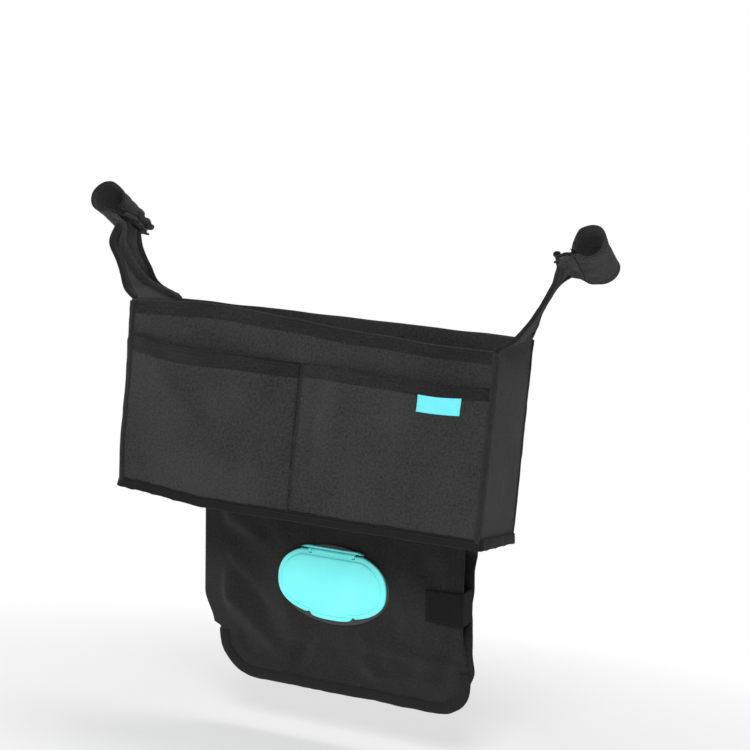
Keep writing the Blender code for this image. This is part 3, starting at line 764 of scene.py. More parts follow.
def mouth_drop(name, share):
    """How far the mouth lies above its straight line, or below it, across the pocket."""
    if name == "left_pocket":
        rise = 0.0052 * (1 - ease(share / 0.30))
        return rise - 0.0026 * bell(share, 0.42, 0.22) - 0.0026 * ease(share * 2 - 1)
    return -0.0042 * bell(share, 0.74, 0.17) + 0.0012 * bell(share, 0.12, 0.10) - 0.0026


def pocket_creases(name):
    """A pocket's folds: where each starts and ends, its width and its height."""
    low_x, high_x, _ = pockets[name]
    foot_z = pocket_foot_z
    if name == "left_pocket":
        return (((low_x + 0.004, mouth_z), (low_x + 0.105, mouth_z - 0.075), 0.010, 0.0026),
                ((high_x - 0.002, mouth_z), (high_x - 0.060, mouth_z - 0.095), 0.009, -0.0022),
                ((low_x + 0.06, foot_z), (high_x - 0.04, foot_z + 0.02), 0.009, 0.0012))
    return (((low_x + 0.024, mouth_z), (low_x + 0.016, foot_z + 0.02), 0.008, -0.0034),
            ((low_x + 0.045, mouth_z), (low_x + 0.034, foot_z + 0.03), 0.013, 0.0020),
            ((high_x - 0.004, mouth_z - 0.004), (high_x - 0.075, mouth_z - 0.07), 0.010, 0.0011),
            ((low_x + 0.01, foot_z + 0.01), (low_x + 0.09, foot_z + 0.035), 0.010, -0.0010))


def pocket_point(name, x, z, lift=0.0):
    """Points of a pocket's outer face, in the hanging bag."""
    low_x, high_x, fullness = pockets[name]
    x, z = np.asarray(x, float), np.asarray(z, float)
    share = np.clip((x - low_x) / (high_x - low_x), 0, 1)
    up = np.clip((z - pocket_foot_z) / pocket_height, 0, 1)
    even = share ** 1.2
    full = np.clip(4 * even * (1 - even), 0, 1) ** 0.9
    full = full * np.sin(pi / 2 * np.clip(up / 0.7, 0, 1))
    off = clearance + fullness * full + pocket_cloth
    hem_z = mouth_z - pocket_hem
    off += pocket_hem_proud * ease((z - hem_z) / 0.0009)
    free = np.clip(full * 1.6, 0, 1)
    off += free * (swell(x, z, 0.045, 31) * 0.0019 + swell(x, z, 0.016, 32) * 0.0005)
    for fold in pocket_creases(name):
        off += free * crease(x, z, *fold)
    rows = bell(z, hem_z + pocket_stitch, 0.0010) + bell(z, mouth_z - mouth_stitch, 0.0008)
    off -= 0.00030 * rows * free
    y = front_y - off - lift + rounded_away(x, half_width, 0.006) * 0.0012
    return settle(np.stack((x, y, z + mouth_drop(name, share) * up ** 3), axis=-1))


def make_pocket(name):
    """A pocket, and the width and height of its cloth when cut."""
    low_x, high_x, _ = pockets[name]
    hem_z = mouth_z - pocket_hem
    xs = stations(low_x, high_x, 0.0024, (low_x, high_x))
    zs = stations(pocket_foot_z, mouth_z, 0.0028, (hem_z + 0.0004, mouth_z - mouth_stitch))
    x, z = np.meshgrid(xs, zs)
    thick = pocket_cloth + pocket_hem_proud * ease((z - hem_z) / 0.0009)
    # The pocket's finish paints shade past its lip, where the mouth opens, and near its sewn sides.
    finish = cloth_finish(name + "_cloth", *charcoal, coarse_pitch,
                          hem=(pocket_height - pocket_hem, pocket_height + 0.02),
                          lip=pocket_height - 0.0008, sewn=(high_x - low_x) / 2 + 0.0012)
    made = add_shell(name, pocket_point(name, x, z), thick, (0, -1, 0), finish)
    flat = (high_x - low_x + mouth_width, pocket_height + mouth_depth)
    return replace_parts(made, name), flat


pocket_pieces = {name: make_pocket(name) for name in pockets}
print("pockets", {name: round(pair[1][0], 3) for name, pair in pocket_pieces.items()})

# %% [markdown]
# The label is a folded piece of satin ribbon, sewn flat just below the right pocket's hem. It is
# left bare. Its two ends are turned under, so they are a little thicker and slightly rounded.

# %% Label
label_low, label_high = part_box("pocket_label")
label_thick = 0.0008


def make_label():
    xs = stations(label_low.x, label_high.x, 0.0012) + 0.0015
    zs = stations(label_low.z + 0.0044, label_high.z + 0.0036, 0.0012)
    x, z = np.meshgrid(xs, zs)
    near_end = np.minimum(x - xs[0], xs[-1] - x)
    puff = 0.00030 * bell(near_end, 0.0011, 0.0009) - 0.00018 * bell(near_end, 0.0024, 0.0005)
    lift = label_thick + 0.0001 + puff + swell(x, z, 0.009, 41) * 0.00012
    outer = pocket_point("right_pocket", x, z, lift)
    made = add_shell("pocket_label", outer, label_thick, (0, -1, 0), label_satin)
    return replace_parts(made, "pocket_label")


label = make_label()
print("label", [round(value, 4) for value in (*label_low, *label_high)])

# %% [markdown]
# Each side of the bag is one piece of cloth that runs up from the base, narrows past the rim and
# reaches the cuff as a wing. Its two edges are smooth curves through a few stations, the same as in
# the solid. The cloth between them hangs in a long diagonal fold, since the strap is twisted.

# %% Wing outline
cuff_x = (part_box("right_cuff")[0].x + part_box("right_cuff")[1].x) / 2
tube_tilt = math.radians(25)
tube_axis = np.array((0, math.cos(tube_tilt), -math.sin(tube_tilt)))
tube_up = np.array((0, math.sin(tube_tilt), math.cos(tube_tilt)))
cuff_bore = 0.013
cuff_cloth = 0.0022
cuff_spacing = 0.500
cuff_length = 0.062
wing_cloth = 0.0024
wing_top_along = (-0.030, 0.010)
wing_inboard = 0.020
wing_lap = 0.010
wing_bend = 0.006
lower_rows = 33    # rows of points from the base to the rim
front_stations = ((0.12, 0.34, 0.05), (0.30, 0.58, 0.12), (0.50, 0.78, 0.15), (0.72, 0.96, 0.15))
back_stations = ((0.10, 0.14, 0.45), (0.30, 0.33, 0.93), (0.54, 0.47, 1.18), (0.80, 0.72, 1.30))


def cuff_point(side, across, along, above):
    """A point near a cuff: across is outboard of its centre, along its tube and above its axis."""
    across, along, above = np.broadcast_arrays(across, along, above)
    start = np.stack((side * (cuff_spacing / 2 + across), across * 0, across * 0), axis=-1)
    return start + along[..., None] * tube_axis + above[..., None] * tube_up


def through(points, steps):
    """Points on a smooth curve through the given ones."""
    points = np.asarray(points, float)
    padded = np.concatenate((points[:1], points, points[-1:]))
    made = []
    for before, start, end, after in zip(padded, padded[1:], padded[2:], padded[3:]):
        t = np.linspace(0, 1, steps, endpoint=False)[:, None]
        square = 2 * before - 5 * start + 4 * end - after
        cube = 3 * start - before - 3 * end + after
        made.append(0.5 * (2 * start + (end - before) * t + square * t ** 2 + cube * t ** 3))
    return np.concatenate(made + [points[-1:]])


def wing_edges(side):
    """Front and back edge of a side's outer face, from the base to the cuff."""
    level = -cuff_bore - cuff_cloth - clearance - wing_cloth
    plans = ((front_y + wall + clearance, rim_z, front_stations, wing_top_along[0]),
             (back_y - wall - clearance, back_rim_z, back_stations, wing_top_along[1]))
    edges = []
    for depth, start_z, shares, along in plans:
        top = cuff_point(side, -wing_inboard, along, level - wing_bend)
        lap = cuff_point(side, wing_lap - wing_inboard, along, level)
        start = np.array((side * half_width, depth, start_z))
        points = [start] + [start + (top - start) * np.array((lean, shift, rise))
                            for rise, lean, shift in shares]
        foot = np.array((side * half_width, depth, base_z))
        lower = start + (foot - start) * np.linspace(1, 0, lower_rows + 1)[:-1, None]
        edges.append(np.concatenate((lower, through(points + [top, lap], 8))))
    return edges


print("cuffs stand", cuff_x, "from the middle")

# %% [markdown]
# The folds are added along the cloth's own normal. The long fold runs from the front edge below the
# cuff to the back edge at the rim, and short gathers fan out under the cuff, where the strap is
# bunched.

# %% Side panels with their wings
wings = {}
wing_columns = 33
bow_zs = (-0.120, -0.104, -0.089, -0.075, -0.061, -0.040, -0.026, -0.012, 0.0)
bows = (0.0, -0.0024, -0.0036, -0.0010, 0.0018, 0.0045, 0.0052, 0.0030, 0.0)


def make_side(prefix, side, seed):
    front_edge, back_edge = wing_edges(side)
    share = np.linspace(0, 1, wing_columns)[None, :, None]
    outer = front_edge[:, None] * (1 - share) + back_edge[:, None] * share
    rows = len(outer)
    normals = grid_normals(outer, (side, 0, 0))
    v = np.broadcast_to(np.linspace(0, 1, wing_columns), (rows, wing_columns))
    rise = np.maximum(np.arange(rows) - lower_rows, 0) / (rows - 1 - lower_rows)
    u = np.broadcast_to(rise[:, None], v.shape)
    below = 1 - np.minimum(np.arange(rows) / lower_rows, 1)[:, None] + v * 0
    inner_field = np.sin(pi * v) ** 0.7
    height = np.arange(rows)[:, None] * 0.0054 + v * 0
    slim = 0.30 if side > 0 else 1.0
    fold = 0.0045 * np.sin(pi * v) * bell(u, 0.42, 0.30) * ease(u / 0.2)
    line = v - (0.12 + 0.80 * (1 - u))
    fold -= 0.0050 * bell(line, 0, 0.10) * ease(u / 0.10) * ease((0.95 - u) / 0.3)
    fold += 0.0022 * bell(line, 0.20, 0.09) * ease(u / 0.15) * ease((0.9 - u) / 0.3)
    gathers = 0.0011 * np.sin(v * 2 * pi * 3.5 + u * 6)
    gathers = gathers * ease((u - 0.62) / 0.2) * ease((0.99 - u) / 0.12)
    depth = v * 0.085
    slack = swell(depth, height, 0.030, seed) * 0.0011
    slack += swell(depth, height, 0.011, seed + 1) * 0.0003
    belly = 0.0016 * np.sin(pi * np.clip(below, 0, 1)) * inner_field
    off = fold * slim + gathers * inner_field * (0.5 + 0.5 * slim) + slack * inner_field + belly
    outer = settle(outer + normals * off[..., None])
    if side < 0:
        sideways = 0.0052 * bell(outer[..., 2], -0.058, 0.024)
    else:
        sideways = np.interp(outer[..., 2], bow_zs, bows)
    outer[..., 0] += sideways * (1 - v) ** 1.2
    shoulder = ease((u - 0.52) / 0.26) * ease((v - 0.25) / 0.75)
    outer[..., 2] += 0.0070 * shoulder * ease((0.985 - u) / 0.08)
    made = add_shell(prefix + "_side_panel", outer, wing_cloth, (side, 0, 0), charcoal_cloth)
    wings[prefix] = outer
    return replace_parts(made, prefix + "_side_panel")


for prefix, side in sides:
    make_side(prefix, side, 51 + side)
print("sides", {name: grid.shape[:2] for name, grid in wings.items()})

# %% [markdown]
# Black tape binds the curved front edge of each wing, and it runs on into the hem of the front
# wall. A narrower tape binds the back edge. Both are made with the folded tape helper along the
# wing's own edge, so they follow its folds.

# %% Wing bindings
wing_leg, wing_back_leg = 0.0085, 0.005
wing_tapes = {}


def bind_wing(prefix, side, column, step, leg, name, first, last):
    """Tape along one column of a wing's points, from the first row to the last."""
    grid = wings[prefix]
    normals = grid_normals(grid, (side, 0, 0))
    rows = slice(first, last)
    edge = grid[rows, column]
    inward = unit(grid[rows, column + step] - edge)
    normal = normals[rows, column + step]
    return fold_tape(name, edge, inward, normal, leg, wing_cloth, binding_tape,
                     seed=61 + column, start=6)


for prefix, side in sides:
    count = len(wings[prefix])
    tape = bind_wing(prefix, side, 0, 2, wing_leg, prefix + "_wing_binding",
                     lower_rows - 1, count - 9)
    wing_tapes[prefix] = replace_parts(tape, prefix + "_wing_binding")
    back_tape = bind_wing(prefix, side, -1, -2, wing_back_leg, prefix + "_wing_back_binding",
                          lower_rows + 1, count - 9)
print("wings bound")

# %% [markdown]
# The vertical corners of the bag are lapped seams: the front wall's edge is folded back on itself
# and topstitched, which leaves a narrow raised welt beside the corner.

# %% Corner welts
welt_width = 0.0052
welt_rise = 0.0011


def make_welt(name, side, face_y, outward, top_z):
    """A welt beside one corner. outward is -1 at the front and 1 at the back."""
    zs = stations(base_z + 0.002, top_z - 0.0012, 0.004)
    profile = np.array(((-welt_width, 0.0001), (-welt_width + 0.0005, 0.0007),
                        (-welt_width + 0.0016, welt_rise), (-0.0022, welt_rise * 1.1),
                        (-0.0006, welt_rise * 0.75), (0.0006, 0.0001), (0.0008, -0.0014),
                        (0.0001, -0.0024), (-0.0012, -0.0012), (-welt_width + 0.001, -0.0006)))
    run = distance_along(profile)
    z = np.broadcast_to(zs[:, None], (len(zs), len(profile)))
    wave = swell(zs, zs * 0, 0.008, 71)[:, None] * 0.00022
    x = side * (half_width + profile[None, :, 0] + wave)
    pocket_depth = pocket_cloth + clearance if outward < 0 else 0.0
    over = pocket_depth * (1 - ease((z - mouth_z + 0.001) / 0.004))
    over = over + hem_proud * ease((z - (top_z - rim_hem)) / 0.002)
    y = face_y + outward * (profile[None, :, 1] + over + wave)
    return add_rings(name, settle(np.stack((x, y, z), axis=2)), chart(zs, run), case_cloth)


welts = {}
for prefix, side in sides:
    welts[prefix] = make_welt(prefix + "_front_welt", side, front_y, -1, rim_z)
    make_welt(prefix + "_back_welt", side, back_y, 1, back_rim_z)
print("welts made")

# %% [markdown]
# The base seam is bound with tape and left standing out as a lip. Its plan is a rectangle with
# round corners, open along the back, and it waves a little where the tape was eased round the
# corners.

# %% Base lip
lip_low, lip_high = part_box("base_seam_binding")
lip_leg = lip_high.z - lip_low.z
lip_tape_leg = lip_leg - 0.001
lip_out = 0.0016
lip_radius = 0.0055
lip_filling = 0.0007
lip_end = half_width - 0.012


def lip_plan():
    """Path round the base: points and outward directions."""
    x, front, back = half_width + lip_out, front_y - lip_out, back_y + lip_out
    corners = ((-x + lip_radius, back - lip_radius, 90), (-x + lip_radius, front + lip_radius, 180),
               (x - lip_radius, front + lip_radius, 270), (x - lip_radius, back - lip_radius, 0))
    path = [(-lip_end, back)]
    for centre_x, centre_y, start in corners:
        for angle in np.radians(np.linspace(start, start + 90, 7)):
            path.append((centre_x + lip_radius * math.cos(angle),
                         centre_y + lip_radius * math.sin(angle)))
    path.append((lip_end, back))
    path = divided(np.array(path), 0.004)
    return path, right_of(path)


def make_lip():
    path, away = lip_plan()
    run = distance_along(path)
    wave = swell(run, run * 0, 0.030, 81)
    corner = bell(path[:, 0], -half_width, 0.010) * bell(path[:, 1], front_y, 0.010)
    flare = 0.0008 + wave * 0.0004 + corner * 0.0004
    low_z = lip_low.z + 0.0016 + wave * 0.0002 + corner * 0.0015
    low = settle(np.column_stack((path + away * flare[:, None], low_z)))
    high = settle(np.column_stack((path, np.full(len(path), lip_high.z))))
    inward = unit(high - low)
    flat = np.column_stack((away, np.zeros(len(away))))
    normal = unit(flat - inward * (flat * inward).sum(axis=1, keepdims=True))
    centre = low + normal * (lip_filling / 2)
    made = fold_tape("base_seam_binding", centre, inward, normal, lip_tape_leg, lip_filling,
                     lip_tape, 0.0004, 82)
    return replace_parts(made, "base_seam_binding"), low, high, normal


lip, lip_lower, lip_upper, lip_away = make_lip()
print("lip", len(lip.data.polygons), "faces")

# %% [markdown]
# The floor of the bag, its board and the two dividers are plain flat pieces in the solid. Each
# gets a dressed copy: the solid's mesh is merged, its edges are rounded, it is cut finely enough to
# bend, and it is warped with the rest of the bag.

# %% Inner pieces
def dressed(node, material, bevel=0.0007, step=0.012, shape=settle):
    """A softened copy of a CAD node that replaces it."""
    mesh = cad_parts[node].data.copy()
    mesh.name = node
    work = bmesh.new()
    work.from_mesh(mesh)
    bmesh.ops.remove_doubles(work, verts=work.verts, dist=0.00001)
    bmesh.ops.dissolve_limit(work, angle_limit=math.radians(1), verts=work.verts, edges=work.edges)
    sharp = [edge for edge in work.edges
             if len(edge.link_faces) == 2 and edge.calc_face_angle() > math.radians(40)]
    bmesh.ops.bevel(work, geom=sharp, offset=bevel, segments=2, profile=0.6, affect='EDGES')
    for axis in range(3):
        values = [vertex.co[axis] for vertex in work.verts]
        for place in np.arange(min(values) + step, max(values) - step / 2, step):
            origin, normal = Vector((0, 0, 0)), Vector((0, 0, 0))
            origin[axis], normal[axis] = place, 1
            bmesh.ops.bisect_plane(work, geom=work.verts[:] + work.edges[:] + work.faces[:],
                                   dist=0.00001, plane_co=origin, plane_no=normal)
    layer = work.loops.layers.uv.verify()
    for face in work.faces:
        axis = max(range(3), key=lambda index: abs(face.normal[index]))
        first, second = [index for index in range(3) if index != axis]
        for loop in face.loops:
            loop[layer].uv = (loop.vert.co[first], loop.vert.co[second])
    if shape:
        for vertex in work.verts:
            vertex.co = Vector(shape(np.array(vertex.co)))
    work.to_mesh(mesh)
    work.free()
    mesh.materials.clear()
    mesh.materials.append(material)
    mesh.shade_smooth()
    mesh.set_sharp_from_angle(angle=math.radians(50))
    made = bpy.data.objects.new(node + "_dressed", mesh)
    bpy.context.scene.collection.objects.link(made)
    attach(made, "bag")
    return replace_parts(made, node)


dressed("bottom_panel", lining_cloth)
dressed("base_board", base_plastic)
for prefix, _ in sides:
    dressed(prefix + "_divider", lining_cloth, 0.0006)
print("inner pieces dressed")

# %% [markdown]
# A cuff is a strap of cloth wrapped round its tube, with its two tails pressed together by hook and
# loop tape. Seen along the tube its line is a lower tail, a loop and an upper tail. The mouth that
# faces the user flares open, the tails are bunched where the strap pulls on them, and wrinkles fan
# out from there round the loop.

# %% Cuffs
cuff_patch = 0.0013
cuff_near = 0.0235
tail_end = 0.030
curl_radius = 0.0022


def cuff_line():
    """The cuff's middle line from the lower to the upper tail: across its tube and above it."""
    radius = cuff_bore + cuff_cloth / 2
    upper = -radius + cuff_cloth + 2 * cuff_patch + 3 * clearance
    turn_end = pi + math.asin(-upper / radius)
    turn = np.linspace(-pi / 2, turn_end, 75)
    loop = np.column_stack((radius * np.cos(turn), radius * np.sin(turn)))
    lower = np.column_stack((np.linspace(-tail_end, 0, 21)[:-1], np.full(20, -radius)))
    tail = np.linspace(loop[-1, 0] - cuff_cloth, -tail_end - 0.001, 17)
    turn = np.linspace(0, 1.25 * pi, 12)[1:]
    curl = np.column_stack((tail[-1] - curl_radius * np.sin(turn),
                            upper + curl_radius * (1 - np.cos(turn))))
    line = np.concatenate((lower, loop, np.column_stack((tail, np.full(17, upper))), curl))
    return relaxed(read_along(line, np.linspace(0, distance_along(line)[-1], 150)))


def pinch(x, s):
    """Share of its width a tail keeps, and the height of its soft folds."""
    narrow = 1 - 0.32 * ease((-x - 0.008) / 0.009) - 0.12 * ease((-x - 0.018) / 0.012)
    folds = 0.0012 * np.sin(s * 2 * pi / 0.026 + 0.8) * ease((-x - 0.014) / 0.012)
    return narrow, folds - 0.0020 * ease((-x - 0.020) / 0.012)


def make_cuff_patches(prefix, side):
    """Hook and loop tape between the tails, pinched as the tails are."""
    low = -cuff_bore + clearance
    alongs = np.linspace(0.004 - cuff_length / 2, cuff_near - 0.003, 24)
    s, x = np.meshgrid(alongs, np.linspace(-0.017, -tail_end + 0.002, 14), indexing="ij")
    narrow, folds = pinch(x, s)
    for name, level, material in (("_cuff_hook_patch", low, hook_tape),
                                  ("_cuff_loop_patch", low + cuff_patch + clearance, loop_tape)):
        outer = cuff_point(side, x, s * narrow, level + cuff_patch + folds)
        made = add_shell(prefix + name, outer, cuff_patch, tube_up, material)
        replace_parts(made, prefix + name)


def make_cuff(prefix, side, seed):
    """A cuff and the grid of its outer points."""
    line = cuff_line()
    away = right_of(line)
    alongs = np.linspace(-cuff_length / 2, cuff_near, 45)
    s, r = np.meshgrid(alongs, distance_along(line), indexing="ij")
    x = np.broadcast_to(line[:, 0], s.shape)
    h = np.broadcast_to(line[:, 1], s.shape)
    on_loop = ease((x + 0.016) / 0.018)
    mouth = ease((-s - 0.008) / 0.023)
    far = ease((x + 0.004) / 0.014)
    free = 0.3 + 0.7 * on_loop
    rows = bell(s, 0.0045 - cuff_length / 2, 0.0009) + bell(s, cuff_near - 0.0045, 0.0009)
    hems = 0.0005 * (bell(s, -cuff_length / 2, 0.003) + bell(s, cuff_near, 0.003))
    hems -= 0.0005 * rows
    strain = np.sin((s * 0.8 + x * 0.5) * 2 * pi / 0.0125 + swell(s, r, 0.02, seed) * 1.6)
    off = 0.0026 * mouth * far + hems + 0.0006 * np.sin(pi * (s + 0.031) / 0.058) * on_loop
    off += 0.0013 * strain * ease((0.006 - x) / 0.016) * on_loop
    off += (swell(s, r, 0.016, seed + 1) * 0.0009 + swell(s, r, 0.006, seed + 2) * 0.0002) * free
    narrow, folds = pinch(x, s)
    across = x + away[:, 0] * off
    above = h + away[:, 1] * off * free + folds
    middle = cuff_point(side, across, s * narrow, above)
    outward = np.stack((side * away[:, 0], away[:, 1] * 0, away[:, 1]), axis=1)
    outward = np.broadcast_to(outward, middle.shape)
    outer = middle + grid_normals(middle, outward) * (cuff_cloth / 2)
    made = add_shell(prefix + "_cuff", outer, cuff_cloth, outward, charcoal_cloth)
    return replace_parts(made, prefix + "_cuff"), outer


cuffs, cuff_pieces = {}, {}
for prefix, side in sides:
    cuff_pieces[prefix], cuffs[prefix] = make_cuff(prefix, side, 91 + side)
    make_cuff_patches(prefix, side)
print("cuffs", {name: grid.shape[:2] for name, grid in cuffs.items()})

# %% [markdown]
# The changing case is a folded cover of softer, blacker cloth. Its places are easiest to give in
# its own frame: x across, the distance down from the bag's base, and the height off its front face.
# One function turns these into points of the hanging case.

# %% The case's frame
case_tilt = math.radians(10)
case_origin = np.array((0.0, back_y + 0.001, base_z))
case_down = np.array((0.0, math.sin(case_tilt), -math.cos(case_tilt)))
case_off = np.array((0.0, -math.cos(case_tilt), -math.sin(case_tilt)))
case_width = 0.280
case_lower_width = 0.263
case_length = 0.183
case_top = 0.004
case_shift = -0.0035
case_sway = 0.0155
full_top, full_end, thin_start, binding_start = 0.032, 0.100, 0.132, 0.140
left_corner, right_corner = 0.042, 0.028
cover = 0.002
case_depth = 0.021
dispenser_down = 0.0745
pressed_half = (0.066, 0.045)    # the oval that the dispenser keeps flat
case_creases = (((-0.135, 0.085), (-0.060, 0.150), 0.009, 0.0060),
                ((-0.128, 0.060), (-0.070, 0.118), 0.008, -0.0050),
                ((-0.130, 0.012), (-0.066, 0.048), 0.009, 0.0040),
                ((0.010, 0.120), (0.125, 0.140), 0.009, 0.0032),
                ((0.120, 0.020), (0.070, 0.060), 0.008, 0.0026),
                ((0.128, 0.100), (0.085, 0.165), 0.009, 0.0020),
                ((-0.020, 0.128), (-0.050, 0.178), 0.008, -0.0030),
                ((0.030, 0.135), (0.060, 0.180), 0.009, 0.0030))


def in_case(x, down, off):
    """Points given across, down and off the case's front face."""
    x, down, off = np.broadcast_arrays(x, down, off)
    place = np.stack((x, x * 0, x * 0), axis=-1)
    return case_origin + place + down[..., None] * case_down + off[..., None] * case_off


def case_edges(down):
    """Left and right edge of the case at a distance down."""
    down = np.asarray(down, float)
    share = ease((down - full_end) / (binding_start - full_end))
    late = ease((down - 0.102) / 0.034) * 0.46 + ease((down - 0.1335) / 0.004) * 0.30
    half = case_width / 2 + (case_lower_width - case_width) / 2 * share
    centre = case_shift + case_sway * share
    left_sway = case_sway + (case_width - case_lower_width) / 2
    left_edge = case_shift - case_width / 2 + left_sway * late
    cuts = []
    for radius in (left_corner, right_corner):
        past = np.maximum(down - (case_length - radius), 0)
        cuts.append(radius - np.sqrt(np.maximum(radius ** 2 - past ** 2, 0)))
    return left_edge + cuts[0], centre + half - cuts[1]


def case_grid(downs, share):
    """Places on the case as x and down. share runs from its left to its right edge."""
    low, high = case_edges(downs)
    x = low[:, None] + (high - low)[:, None] * share
    return x, np.broadcast_to(downs[:, None], x.shape)


def case_folds(x, down):
    """The soft folds of the case's front: height off the flat face."""
    low, high = case_edges(down)
    share = (x - low) / (high - low)
    edge = np.clip(np.minimum(share, 1 - share) / 0.06, 0, 1)
    reach = np.hypot(x / pressed_half[0], (down - dispenser_down) / pressed_half[1])
    flat = 1 - np.exp(-reach ** 6)
    off = swell(x, down, 0.034, 101) * 0.0036 + swell(x, down, 0.014, 102) * 0.0009
    for fold in case_creases:
        off += crease(x, down, *fold)
    step = ease((down - 0.116 + 0.10 * np.minimum(share, 0.2)) / 0.010)
    belly = 0.0055 * np.sin(pi * np.clip((down - case_top) / 0.118, 0, 1))
    belly = belly * (4 * share * (1 - share)) ** 0.5
    off += belly * 0.35 - 0.0012 * step * bell(share, 0.0, 0.35)
    off *= flat * (1 - bell(share, 1.0, 0.05) * 0.4)
    bottom = ease((case_length - 0.011 - down) / 0.016)
    corner = np.hypot(np.maximum(low + left_corner * 1.15 - x, 0),
                      np.maximum(down - case_length + left_corner, 0))
    bottom *= ease((left_corner - 0.010 - corner) / 0.012)
    lower_side = ease(np.minimum(x - low, high - x) / 0.020 - 0.45)
    tapered = 1 + (lower_side - 1) * ease((down - 0.128) / 0.010)
    return off * (0.35 + 0.65 * edge) * bottom * tapered


print("case leans back", round(math.degrees(case_tilt)), "degrees")

# %% [markdown]
# The front cover is one shell with an oval hole for the dispenser's neck. The hole is cut with a
# Boolean modifier, which is applied at once, and the cover is pressed flat around it, where the
# dispenser's flange clamps it.

# %% Case front cover
hinge_down = 0.0415
opening_half = (0.041, 0.019)
neck_wall = 0.0025
neck_play = 0.0006


def apply_modifiers(made):
    """Turns an object with its modifiers into one plain mesh."""
    graph = bpy.context.evaluated_depsgraph_get()
    made.data = bpy.data.meshes.new_from_object(made.evaluated_get(graph))
    made.modifiers.clear()


def cut_with(target, cutter):
    """Cuts one object out of another at once, and removes it."""
    hole = target.modifiers.new("hole", 'BOOLEAN')
    hole.operation = 'DIFFERENCE'
    hole.object = cutter
    apply_modifiers(target)
    bpy.data.objects.remove(cutter, do_unlink=True)


def bare(rings):
    """An empty UV map, for plastic and for cutters."""
    return np.zeros(rings.shape[:2] + (2,))


def oval(half_x, half_z, count=96):
    turn = np.linspace(0, 2 * pi, count, endpoint=False)
    return half_x * np.cos(turn), half_z * np.sin(turn)


def make_case_front():
    x, down = case_grid(stations(case_top, case_length, 0.0026, (binding_start,)),
                        stations(0, 1, 0.0095))
    outer = in_case(x, down, case_folds(x, down))
    made = add_shell("case_front_panel", outer, cover, case_off, case_cloth)
    across, along = oval(*(half + neck_wall + neck_play for half in opening_half))
    rings = np.stack([in_case(across, dispenser_down - along, off) for off in (-0.010, 0.012)])
    cut_with(made, add_rings("hole", rings, bare(rings), case_cloth, None))
    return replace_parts(made, "case_front_panel")


case_front = make_case_front()
print("case front", len(case_front.data.polygons), "faces")

# %% [markdown]
# The back cover stands off the front one where the pad and the wipes fill the case, and comes up to
# it again below. Its free right edge waves, which opens a dark gap beside the closure tab, and its
# left edge turns forward as the fold of the case. Its top runs on up the bag's back as the flap.

# %% Case back cover
hanger_width = 0.240
hanger_rise = 0.070
hanger_bend = 0.006
back_start = 0.0085
flap_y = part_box("hanger_hook_strip")[1].y + clearance + cover


def back_face(down):
    """Height of the back cover's inner face off the case's front face."""
    thin = -cover - clearance
    deep = -(case_depth - cover)
    filled = np.clip((down - case_top) / (full_top - case_top), 0, 1)
    opening = thin + (deep - thin) * np.sin(pi / 2 * filled)
    closing = deep + (thin - deep) * ease((down - full_end) / (thin_start - full_end))
    return np.where(down < full_end, opening, closing)


def make_case_back():
    share = stations(0, 1, 0.0105)
    x, down = case_grid(stations(back_start, case_length, 0.0030), share)
    loose = ease((share - 0.86) / 0.14) * ease((down - 0.002) / 0.012)
    loose = loose * (1 - ease((down - 0.140) / 0.02))
    wave = 0.0042 + 0.0016 * np.sin(down * 2 * pi / 0.062 + 0.2)
    x = x + loose * wave * (1 - 0.9 * bell(down, 0.078, 0.021))
    off = back_face(down) - cover
    off = off + loose * 0.0016 * np.sin(down * 2 * pi / 0.041)
    dents = swell(x, down, 0.045, 111) * 0.0018 + swell(x, down, 0.016, 112) * 0.0005
    off += dents * ease((down - 0.02) / 0.03)
    off = np.minimum(off, back_face(down) - cover + 0.0002)
    body = in_case(x, down, off)
    zs = np.linspace(base_z + hanger_rise, base_z + hanger_bend, 20)
    zs = np.concatenate((zs, [base_z + 0.002]))
    flap_x = hanger_width * (share - 0.5)
    flap = np.stack(np.broadcast_arrays(flap_x[None], flap_y, zs[:, None]), axis=2)
    made = add_shell("case_back_panel", np.concatenate((flap, body)), cover, (0, 1, 0), case_cloth)
    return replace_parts(made, "case_back_panel")


case_back = make_case_back()
print("case back", len(case_back.data.polygons), "faces")

# %% [markdown]
# Black tape is folded over the case's lower edge, from one side round both corners to the other.
# Under it the two covers meet.

# %% Case binding
binding_leg = 0.009
rim_step = 0.003


def case_rim():
    """The case's lower edge: points as x and down, with the directions into the case."""
    downs = stations(binding_start, case_length, rim_step)
    corner = case_length - left_corner * (1 - np.sin(np.radians(np.arange(0, 91, 5))))
    downs = np.unique(np.concatenate((downs[downs < corner[0]], corner)))
    low, high = case_edges(downs)
    path = np.concatenate((np.column_stack((low, downs)), np.column_stack((high, downs))[::-1]))
    path = relaxed(divided(path, rim_step))
    return path, right_of(path)


def make_case_binding():
    path, inward = case_rim()
    run = distance_along(path)
    ruffle = swell(run, run * 0, 0.034, 121) * 0.0007
    path = path - inward * ruffle[:, None]
    edge = in_case(path[:, 0], path[:, 1], ruffle * 0.6)
    aim = inward[:, :1] * np.array((1.0, 0, 0)) + inward[:, 1:] * case_down
    normal = np.broadcast_to(case_off, aim.shape)
    made = fold_tape("case_binding", edge, aim, normal, binding_leg, 2 * cover + clearance,
                     case_edge_tape, 0.0004, 122)
    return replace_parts(made, "case_binding"), path, aim


case_tape, rim_path, rim_aim = make_case_binding()
print("case binding", len(case_tape.data.polygons), "faces")

# %% [markdown]
# Inside the case lie the lining that makes the wipes pocket and the changing pad, folded once. The
# pad is a thin foam quilt. Its swelling is worked out with a cloth simulation: the pad is meshed
# again in even small cells, blown up from inside without gravity, and its movement is capped so
# that it stays between the lining and the back cover.

# %% Case lining and changing pad
pad_cell, pad_pressure, pad_cap = 0.0016, 4.0, 0.0006
pad_frames = 12

dressed("wipes_pocket_lining", lining_cloth, 0.0003, 0.02, None)


